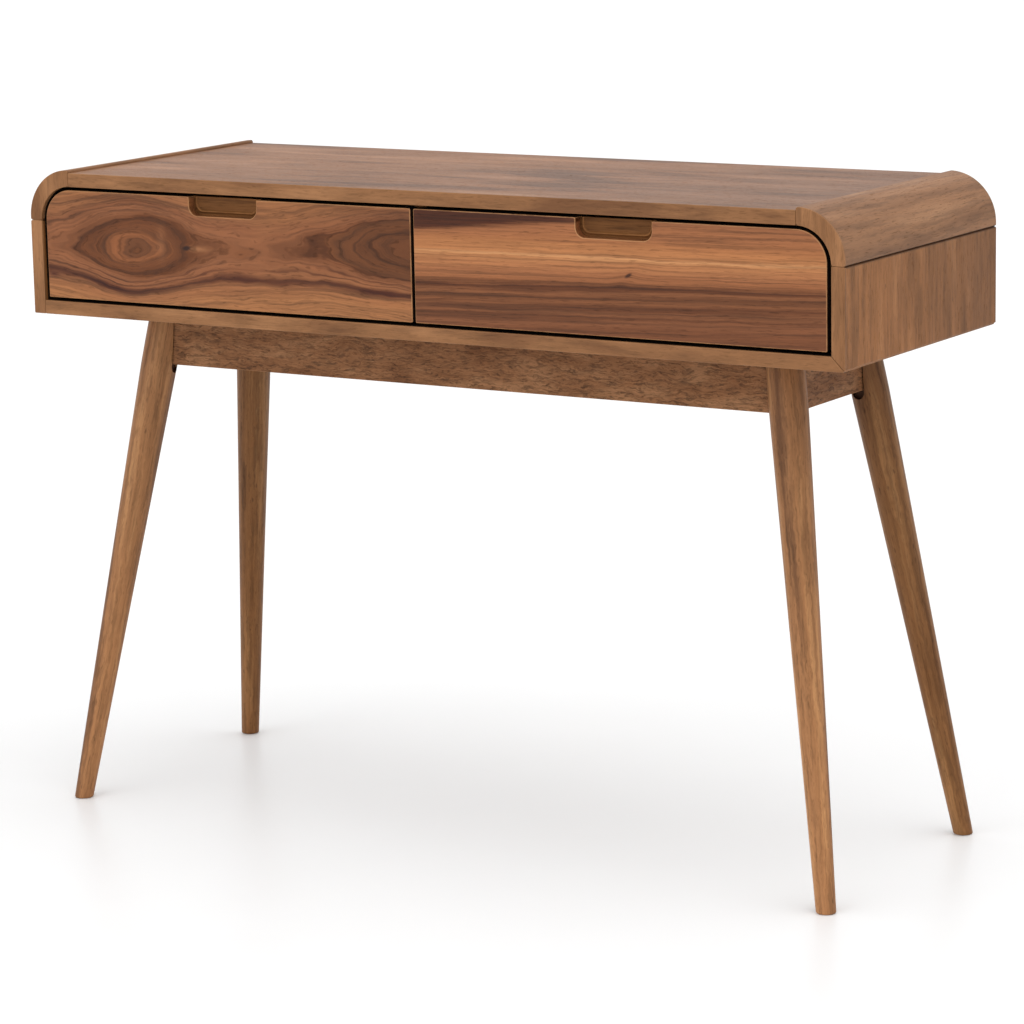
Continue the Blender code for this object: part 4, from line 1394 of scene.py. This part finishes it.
@dataclass
class Drawer:
    """One drawer: its figured front with the finger notch, the wood behind the notch, and its box."""

    name: str
    side: int
    front_finish: Walnut
    corner_radius: float = 0.040
    pull_width: float = 0.106
    pull_drop: float = 0.0245     # height of the notch
    pull_corner: float = 0.0125   # radius of its lower corners
    pull_recess: float = 0.012    # how far behind the face the plate lies
    pull_lap: float = 0.012       # how much larger than the notch the plate is
    bead: tuple[float, float, float] = (0.0054, 0.0026, 0.0016)   # distance inside the wall, height, width
    arris: float = 0.0013
    low: np.ndarray = field(init=False)
    high: np.ndarray = field(init=False)

    def __post_init__(self) -> None:
        """Read the right-hand drawer front's box, from which both are drawn."""
        self.low, self.high = box_of("drawer_right_front")

    @property
    def body(self) -> str:
        """Return the CAD body that the drawer is."""
        return f"drawer_{self.name}"

    def notch(self, grow: float, radius: float) -> Outline:
        """Return the walls of the notch from its upper right to its upper left.

        Args:
            grow: how much larger all round.
            radius: radius of its lower corners.

        Returns:
            The points.
        """
        middle = (self.low[0] + self.high[0]) / 2
        left, right = middle - self.pull_width / 2 - grow, middle + self.pull_width / 2 + grow
        low = self.high[2] - self.pull_drop - grow
        return np.concatenate([
            [(right, self.high[2])], arc((right - radius, low + radius), radius, 0, -90, 14),
            arc((left + radius, low + radius), radius, 270, 180, 14), [(left, self.high[2])]])

    def face(self, grow: float, radius: float) -> Outline:
        """Return the front's outline with the notch cut into its upper edge.

        Args:
            grow: how much larger the notch is all round.
            radius: radius of its lower corners.

        Returns:
            The outline, counter-clockwise.
        """
        centre = (self.high[0] - self.corner_radius, self.high[2] - self.corner_radius)
        return np.concatenate([
            [(self.low[0], self.low[2]), (self.high[0], self.low[2])],
            arc(centre, self.corner_radius, 0, 90, 32), self.notch(grow, radius),
            [(self.low[0], self.high[2])]])

    def build_front(self) -> None:
        """Build the front: the notch through its face, and the wider rebate behind that holds the plate."""
        shape, weights = eased(mirrored(self.face(0.0, self.pull_corner), self.side), self.arris)
        wide, _ = eased(mirrored(self.face(self.pull_lap, self.pull_corner), self.side), self.arris)
        step = self.low[1] + self.pull_recess - SEAM
        face = rounded_rings(shape, self.low[1], self.high[1], self.arris)[:END_RINGS]
        rear = rounded_rings(wide, self.low[1], self.high[1], 0.0006)[1 - END_RINGS:]
        rings = face + [(shape, step, 0.0), (wide, step, 0.0)] + rear
        front = loft(f"drawer_front_{self.name}", rings, "Y", weights)
        # painted shade on the front's edge walls
        paint(front, self.on_walls, 1)
        finish = self.front_finish.dress("front", GrainRun.LENGTH.turn, (0.0, 0.0, 0.0))
        install(front, self.body, f"drawer_{self.name}_front", f"drawer_front_{self.name}", finish,
                HOLLOW_SHADE.dress(f"front_{self.name}", GrainRun.LENGTH.turn, (0.0, 0.1, 0.2)))

    def on_walls(self, middles: np.ndarray) -> np.ndarray:
        """Tell which points lie on the front's outer walls, behind its arris and away from the notch, which
        take the painted shade.

        Args:
            middles: the points.

        Returns:
            True where they do.
        """
        x, y, z = middles[:, 0] * self.side, middles[:, 1], middles[:, 2]
        middle = (self.low[0] + self.high[0]) / 2
        notch = (np.abs(x - middle) < self.pull_width / 2 + self.pull_lap + 0.001) & (
            z > self.high[2] - self.pull_drop - self.pull_lap - 0.001)
        return (y > self.low[1] + self.arris) & (y < self.high[1] - self.arris) & ~notch

    def build_plate(self) -> None:
        """Build the plate behind the notch, with a hollow moulded round the opening."""
        grow = self.pull_lap - SEAM
        cavity = self.notch(grow, self.pull_corner)
        outline = mirrored(cavity[::-1], self.side)
        near, far = self.low[1] + self.pull_recess, self.high[1]
        shape, weights = eased(outline, 0.0003)
        rings = self.beaded(near, weights) + rounded_rings(shape, near, far, 0.0003)[1:]
        plate = loft(f"pull_plate_{self.name}", rings, "Y", weights)
        finish = PULL.dress(f"pull_{self.name}", GrainRun.LENGTH.turn, (0.3 * self.side, 0.5, 0.1))
        install(plate, self.body, f"drawer_{self.name}_pull_backing", "pull_wood", finish)

    def beaded(self, near: float, weights: np.ndarray) -> list[Ring]:
        """Return rings that give the plate's face a bead round the opening, whose crest carries arris values
        for a painted highlight.

        Formula: at a distance inside the opening's wall the face stands forward by the bead's height times
        the exponential of minus the squared offset from the bead over its width.

        Args:
            near: plane of the plate's face.
            weights: arris values, one for each point of a ring; not used.

        Returns:
            The rings, from the innermost outwards.
        """
        inward = np.linspace(0.0135, 0.0005, 27)
        lift = self.bead[1] * np.exp(-((inward - self.bead[0]) / self.bead[2]) ** 2)
        rings = []
        for distance, height in zip(inward, lift):
            radius = max(self.pull_corner - distance * 0.45, 0.003)
            outline = mirrored(self.notch(-distance, radius)[::-1] - (0, distance * 0.02), self.side)
            shape, _ = eased(outline, 0.0003)
            # arris value at the bead's crest, for its painted highlight
            rings.append((shape, near - float(height), float(height / self.bead[1]) ** 2))
        return rings

    def build_box(self) -> None:
        """Build the five boards of the drawer's box."""
        runs = {"front": GrainRun.LENGTH, "back": GrainRun.LENGTH, "floor": GrainRun.LENGTH,
                "inner_side": GrainRun.DEPTH, "outer_side": GrainRun.DEPTH}
        for number, (label, run) in enumerate(runs.items()):
            node = f"drawer_{self.name}_box_{label}"
            piece = board(f"box_{label}_{self.name}", node, "Y" if run is GrainRun.DEPTH else "X", 0.0008)
            finish = BOX_WOOD.dress(f"{label}_{self.name}", run.turn,
                                    (0.3 * number, 0.7 * self.side, 0.2 * number))
            install(piece, self.body, node, "box_wood", finish)

    def build(self) -> None:
        """Build the whole drawer."""
        self.build_front()
        self.build_plate()
        self.build_box()


@dataclass
class Base:
    """The base: four splayed tapered legs, slotted for the four rails that join them."""

    foot_radius: float = 0.0124
    knee_radius: float = 0.0241
    head_radius: float = 0.0236
    foot_round: float = 0.0018    # radius of the foot's broken edge
    top_inset: tuple[float, float] = (0.138, 0.112)       # axis to table end and front, at the case
    foot_inset: tuple[float, float] = (0.0355, 0.0155)    # and at the floor
    rail_thickness: float = 0.016
    slot_neck: float = 0.0015     # wood between a leg's two slots
    slot_clearance: float = 0.0008
    slot_drop: float = 0.003      # how far below the rail a slot's round end starts
    slot_ease: float = 0.0008     # how much wider the cut is on each side
    arris: float = 0.0010
    sides: int = 96               # points round a leg
    rows: int = 60                # sections from foot to knee
    top: float = field(init=False)
    underside: float = field(init=False)
    rail_low: float = field(init=False)
    leg_top: np.ndarray = field(init=False)
    leg_foot: np.ndarray = field(init=False)

    def __post_init__(self) -> None:
        """Read the base's places from the CAD."""
        low, high = box_of("leg_front_right")
        self.top, self.underside = high[2], box_of("case_bottom")[0][2]
        self.rail_low = box_of("rail_front")[0][2]
        ends = np.array([CAD_BOX[1][0], CAD_BOX[1][1]])
        self.leg_top, self.leg_foot = ends - self.top_inset, ends - self.foot_inset

    def axis(self, z: float | np.ndarray) -> np.ndarray:
        """Return where a leg's axis stands at a height, a straight line from foot to head."""
        share = (self.underside - np.asarray(z, float)) / self.underside
        return self.leg_top + (self.leg_foot - self.leg_top) * share[..., None]

    def radius(self, z: np.ndarray) -> np.ndarray:
        """Return a leg's radius: straight from foot to knee, then a slight square-law narrowing to the head.

        Args:
            z: heights.

        Returns:
            The radii.
        """
        lower = self.foot_radius + (self.knee_radius - self.foot_radius) * z / self.rail_low
        share = np.clip((z - self.rail_low) / (self.top - self.rail_low), 0, 1)
        upper = self.knee_radius + (self.head_radius - self.knee_radius) * share ** 2
        return np.where(z <= self.rail_low, lower, upper)

    @property
    def rail_place(self) -> np.ndarray:
        """Return the middle planes of the end rails and of the long rails."""
        return self.axis(np.array((self.underside + self.rail_low) / 2))

    @property
    def slot_half(self) -> float:
        """Return half of a slot's width."""
        return self.rail_thickness / 2 + self.slot_clearance

    @property
    def rail_end(self) -> float:
        """Return how far short of a leg's axis a rail ends."""
        drift = (self.axis(np.array(self.rail_low)) - self.rail_place).max()
        return drift + self.slot_half + self.slot_neck

    def leg_surface(self, name: str, signs: np.ndarray) -> Piece:
        """Make a leg as a grid of height and turn: level sections that are ellipses along the splay.

        Formula: a section is the radius times the cosine of the turn along the splay, lengthened by the
        lean, and the radius times its sine across.

        Args:
            name: the piece's name.
            signs: which corner of the table.

        Returns:
            The leg.
        """
        spread = self.leg_foot - self.leg_top
        lean = math.hypot(float(np.hypot(*spread)), self.underside) / self.underside
        quarter = np.linspace(math.pi / 2, 0, 6)
        heights = np.concatenate([self.foot_round * (1 - np.sin(quarter)),
                                  np.linspace(0.004, self.rail_low, self.rows),
                                  np.linspace(self.rail_low, self.top, 9)[1:]])
        insets = np.zeros(len(heights))
        insets[:len(quarter)] = self.foot_round * (1 - np.cos(quarter))
        turns_round = np.linspace(0, 2 * math.pi, self.sides, endpoint=False)
        along = spread * signs / np.hypot(*spread)
        across = np.array([-along[1], along[0]])
        radii = (self.radius(heights) - insets)[:, None]
        flat = ((radii * lean * np.cos(turns_round))[..., None] * along
                + (radii * np.sin(turns_round))[..., None] * across)
        centre = self.axis(heights) * signs
        rings = [(flat[i] + centre[i], float(heights[i]), 0.0) for i in range(len(heights))]
        return loft(name, rings, "Z")

    def slot_cutter(self, name: str, along: int, signs: np.ndarray) -> Piece:
        """Make the solid that a rail's slot removes: round below, open above, its end along the leg's splay.

        Args:
            name: the solid's name.
            along: axis the rail runs along.
            signs: which corner of the table.

        Returns:
            The solid.
        """
        centre = signs[1 - along] * self.rail_place[1 - along]
        top, half = self.underside + 0.018, self.slot_half + self.slot_ease
        outline = np.concatenate([
            arc((centre, self.rail_low - self.slot_drop), half, 180, 360, 20),
            [(centre + half, top), (centre - half, top)]])
        reach = self.axis(outline[:, 1])[:, along]
        ends = [signs[along] * (reach - 2 * self.knee_radius), signs[along] * (reach - self.rail_end + SEAM)]
        points = np.empty((2, len(outline), 3))
        points[:, :, 1 - along], points[:, :, 2] = outline[:, 0], outline[:, 1]
        points[:, :, along] = np.stack(ends)
        count = len(outline)
        here = np.arange(count)
        after = (here + 1) % count
        faces = np.stack([here, after, after + count, here + count], 1).tolist()
        faces += [here.tolist(), (here + count).tolist()]
        return mesh_piece(name, points.reshape(-1, 3), faces)

    def in_slot(self, signs: np.ndarray, middles: np.ndarray) -> np.ndarray:
        """Tell which points lie on the walls of a leg's slots, inside the leg's own surface, which take the
        painted shade.

        Args:
            signs: which corner of the table.
            middles: the points.

        Returns:
            True where they do.
        """
        z = middles[:, 2]
        away = np.linalg.norm(middles[:, :2] - self.axis(z) * signs, axis=1)
        return (z > self.rail_low - 0.03) & (z < self.top - 0.0005) & (away < self.radius(z) - 0.0008)

    def leg_turn(self, signs: np.ndarray) -> tuple[Euler, Vector]:
        """Lay a leg's grain along the pattern's X.

        Args:
            signs: which corner of the table.

        Returns:
            The rotation, and the shift that puts the leg's head at zero.
        """
        head = Vector((*(self.leg_top * signs), self.underside))
        foot = Vector((*(self.leg_foot * signs), 0.0))
        turn = (foot - head).normalized().rotation_difference(Vector((1.0, 0.0, 0.0)))
        return turn.to_euler(), -(turn @ head)

    def build_legs(self) -> None:
        """Build the four slotted legs."""
        for number, (end, sy) in enumerate(ENDS.items()):
            for side, sx in SIDES.items():
                signs = np.array([sx, sy])
                name = f"{end}_{side}"
                leg = self.leg_surface(f"turned_leg_{name}", signs)
                slots = enumerate(("long_slot", "end_slot"))
                cut_from(leg, [self.slot_cutter(label, along, signs) for along, label in slots])
                # painted shade on the slot walls
                paint(leg, partial(self.in_slot, signs), 1)
                turn, shift = self.leg_turn(signs)
                place = tuple(shift + Vector((0.9 * number, 0.3 * sx, 0.2 * sy)))
                install(leg, "table", f"leg_{name}", "leg_walnut", LEGS_LIT_AND_SHADED[end].dress(name, turn, place),
                        SLOT_SHADE.dress(name, turn, place))

    def build_rails(self) -> None:
        """Build the four rails, whose ends follow the splay of the legs."""
        low, high = (self.axis(np.array(z)) - self.rail_end for z in (self.rail_low, self.top))
        for label, along in {"front": 0, "back": 0, "left": 1, "right": 1}.items():
            node = f"rail_{label}"
            near, far = box_of(node)
            outline = np.array([(-low[along], self.rail_low), (low[along], self.rail_low),
                                (high[along], self.top), (-high[along], self.top)])
            shape, weights = eased(outline, self.arris)
            w = 1 - along
            rings = rounded_rings(shape, near[w], far[w], self.arris)
            rail = loft(f"rail_board_{label}", rings, "XY"[w], weights)
            run = GrainRun.LENGTH if along == 0 else GrainRun.DEPTH
            finish = RAIL.dress(label, run.turn, (0.8 * along, 0.4 * near[w], 0.15))
            install(rail, "table", node, "rail_walnut", finish)

    def build(self) -> None:
        """Build the base."""
        self.build_rails()
        self.build_legs()


def dress_hidden() -> None:
    """Give the CAD nodes that stay, the blocks, fasteners and slides, their finishes."""
    for name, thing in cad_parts.items():
        if name.startswith("corner_block"):
            finish = BLOCK.dress(name, GrainRun.LENGTH.turn, (0.2, 0.3, 0.4))
        elif "screw" in name or "bolt" in name:
            finish = ZINC.dress(name)
        elif "_slide_" in name:
            finish = SLIDE_STEEL.dress(name)
        else:
            continue
        thing.data.materials.clear()
        thing.data.materials.append(finish)
        log.info("%s: CAD node with its own finish", name)


@dataclass
class Studio:
    """The pale floor, the soft light and the camera."""

    azimuth: float = 31.8346
    pitch: float = 11.2548
    roll: float = -1.15896
    place: tuple[float, float, float] = (2.585504, -4.150087, 1.381607)
    lens: float = 134.236
    floor_half: float = 14.0
    floor_cells: int = 8
    floor_drop: float = 0.0004    # how far the floor lies below the feet
    sky: float = 0.95
    backdrop: float = 1.05        # the room as the camera sees it
    suns: tuple[tuple[str, float, float, Place], ...] = (   # name, strength, width, place
        ("soft_key", 0.80, 55.0, (1.1, -0.3, 3.4)), ("low_fill", 0.72, 60.0, (-1.2, -3.4, 1.1)))

    def build_floor(self) -> None:
        """Lay a floor: a flat square cut into smaller ones."""
        cells, across = np.arange(self.floor_cells), self.floor_cells + 1
        steps = np.linspace(-self.floor_half, self.floor_half, across)
        x, y = np.meshgrid(steps, steps, indexing="ij")
        points = np.stack([x.ravel(), y.ravel(), np.full(x.size, -self.floor_drop)], 1)
        row, column = np.meshgrid(cells, cells, indexing="ij")
        first = (row * across + column).ravel()
        faces = np.stack([first, first + across, first + across + 1, first + 1], 1).tolist()
        mesh = bpy.data.meshes.new("studio_floor")
        mesh.from_pydata(points.tolist(), [], faces)
        floor = bpy.data.objects.new("studio_floor", mesh)
        bpy.context.scene.collection.objects.link(floor)
        web, shader, material = new_material("pale_floor")
        vector = web.own()
        soft = web.noise(vector, 6.0, 3.0, 0.5)
        tones = ((0.3, (0.893, 0.897, 0.9)), (0.7, (0.9, 0.904, 0.907)))
        web.feed(shader.inputs["Base Color"], web.ramp(soft, tones))
        web.feed(shader.inputs["Roughness"], web.span(soft, 0.3, 0.7, 0.34, 0.38))
        shader.inputs["Specular IOR Level"].default_value = 0.3
        mesh.materials.append(material)

    def build_light(self) -> None:
        """Fill the room with white light, and add a broad key above and a low fill in front."""
        scene = bpy.context.scene
        scene.world = bpy.data.worlds.new("studio_room")
        scene.world.use_nodes = True
        web = Web(scene.world.node_tree)
        background = web.tree.nodes["Background"]
        background.inputs["Color"].default_value = (1.0, 1.0, 1.0, 1.0)
        seen = web.node("ShaderNodeLightPath").outputs["Is Camera Ray"]
        web.feed(background.inputs["Strength"], web.span(seen, 0.0, 1.0, self.sky, self.backdrop))
        for name, strength, width, place in self.suns:
            data = bpy.data.lights.new(name, "SUN")
            data.energy, data.angle = strength, math.radians(width)
            lamp = bpy.data.objects.new(name, data)
            lamp.location = place
            lamp.rotation_euler = (-Vector(place)).to_track_quat("-Z", "Y").to_euler()
            scene.collection.objects.link(lamp)
        scene.view_settings.view_transform = "Standard"
        scene.view_settings.look = "None"

    def build_camera(self) -> None:
        """Set the camera by its azimuth, pitch and roll about its own axis."""
        turn, tip, lean = (math.radians(angle) for angle in (self.azimuth, self.pitch, self.roll))
        back = Vector((math.sin(turn) * math.cos(tip), -math.cos(turn) * math.cos(tip), math.sin(tip)))
        right = Vector((math.cos(turn), math.sin(turn), 0.0))
        up = back.cross(right)
        axis_x = right * math.cos(lean) + up * math.sin(lean)
        axis_y = -right * math.sin(lean) + up * math.cos(lean)
        data = bpy.data.cameras.new("studio_camera")
        data.lens, data.sensor_width = self.lens, 36.0
        data.clip_start, data.clip_end = 0.1, 100.0
        camera = bpy.data.objects.new("studio_camera", data)
        rotation = Matrix((axis_x, axis_y, back)).transposed().to_4x4()
        camera.matrix_world = Matrix.Translation(self.place) @ rotation
        bpy.context.scene.collection.objects.link(camera)
        bpy.context.scene.camera = camera

    def build(self) -> None:
        """Build the whole studio."""
        self.build_floor()
        self.build_light()
        self.build_camera()


def main() -> None:
    """Build the table's looks and the studio, in order."""
    logging.basicConfig(level=logging.INFO, format="%(name)s %(message)s")
    Case().build()
    Drawer("left", -1, LEFT_FRONT).build()
    Drawer("right", 1, RIGHT_FRONT).build()
    Base().build()
    dress_hidden()
    Studio().build()


if __name__ == "__main__":
    main()
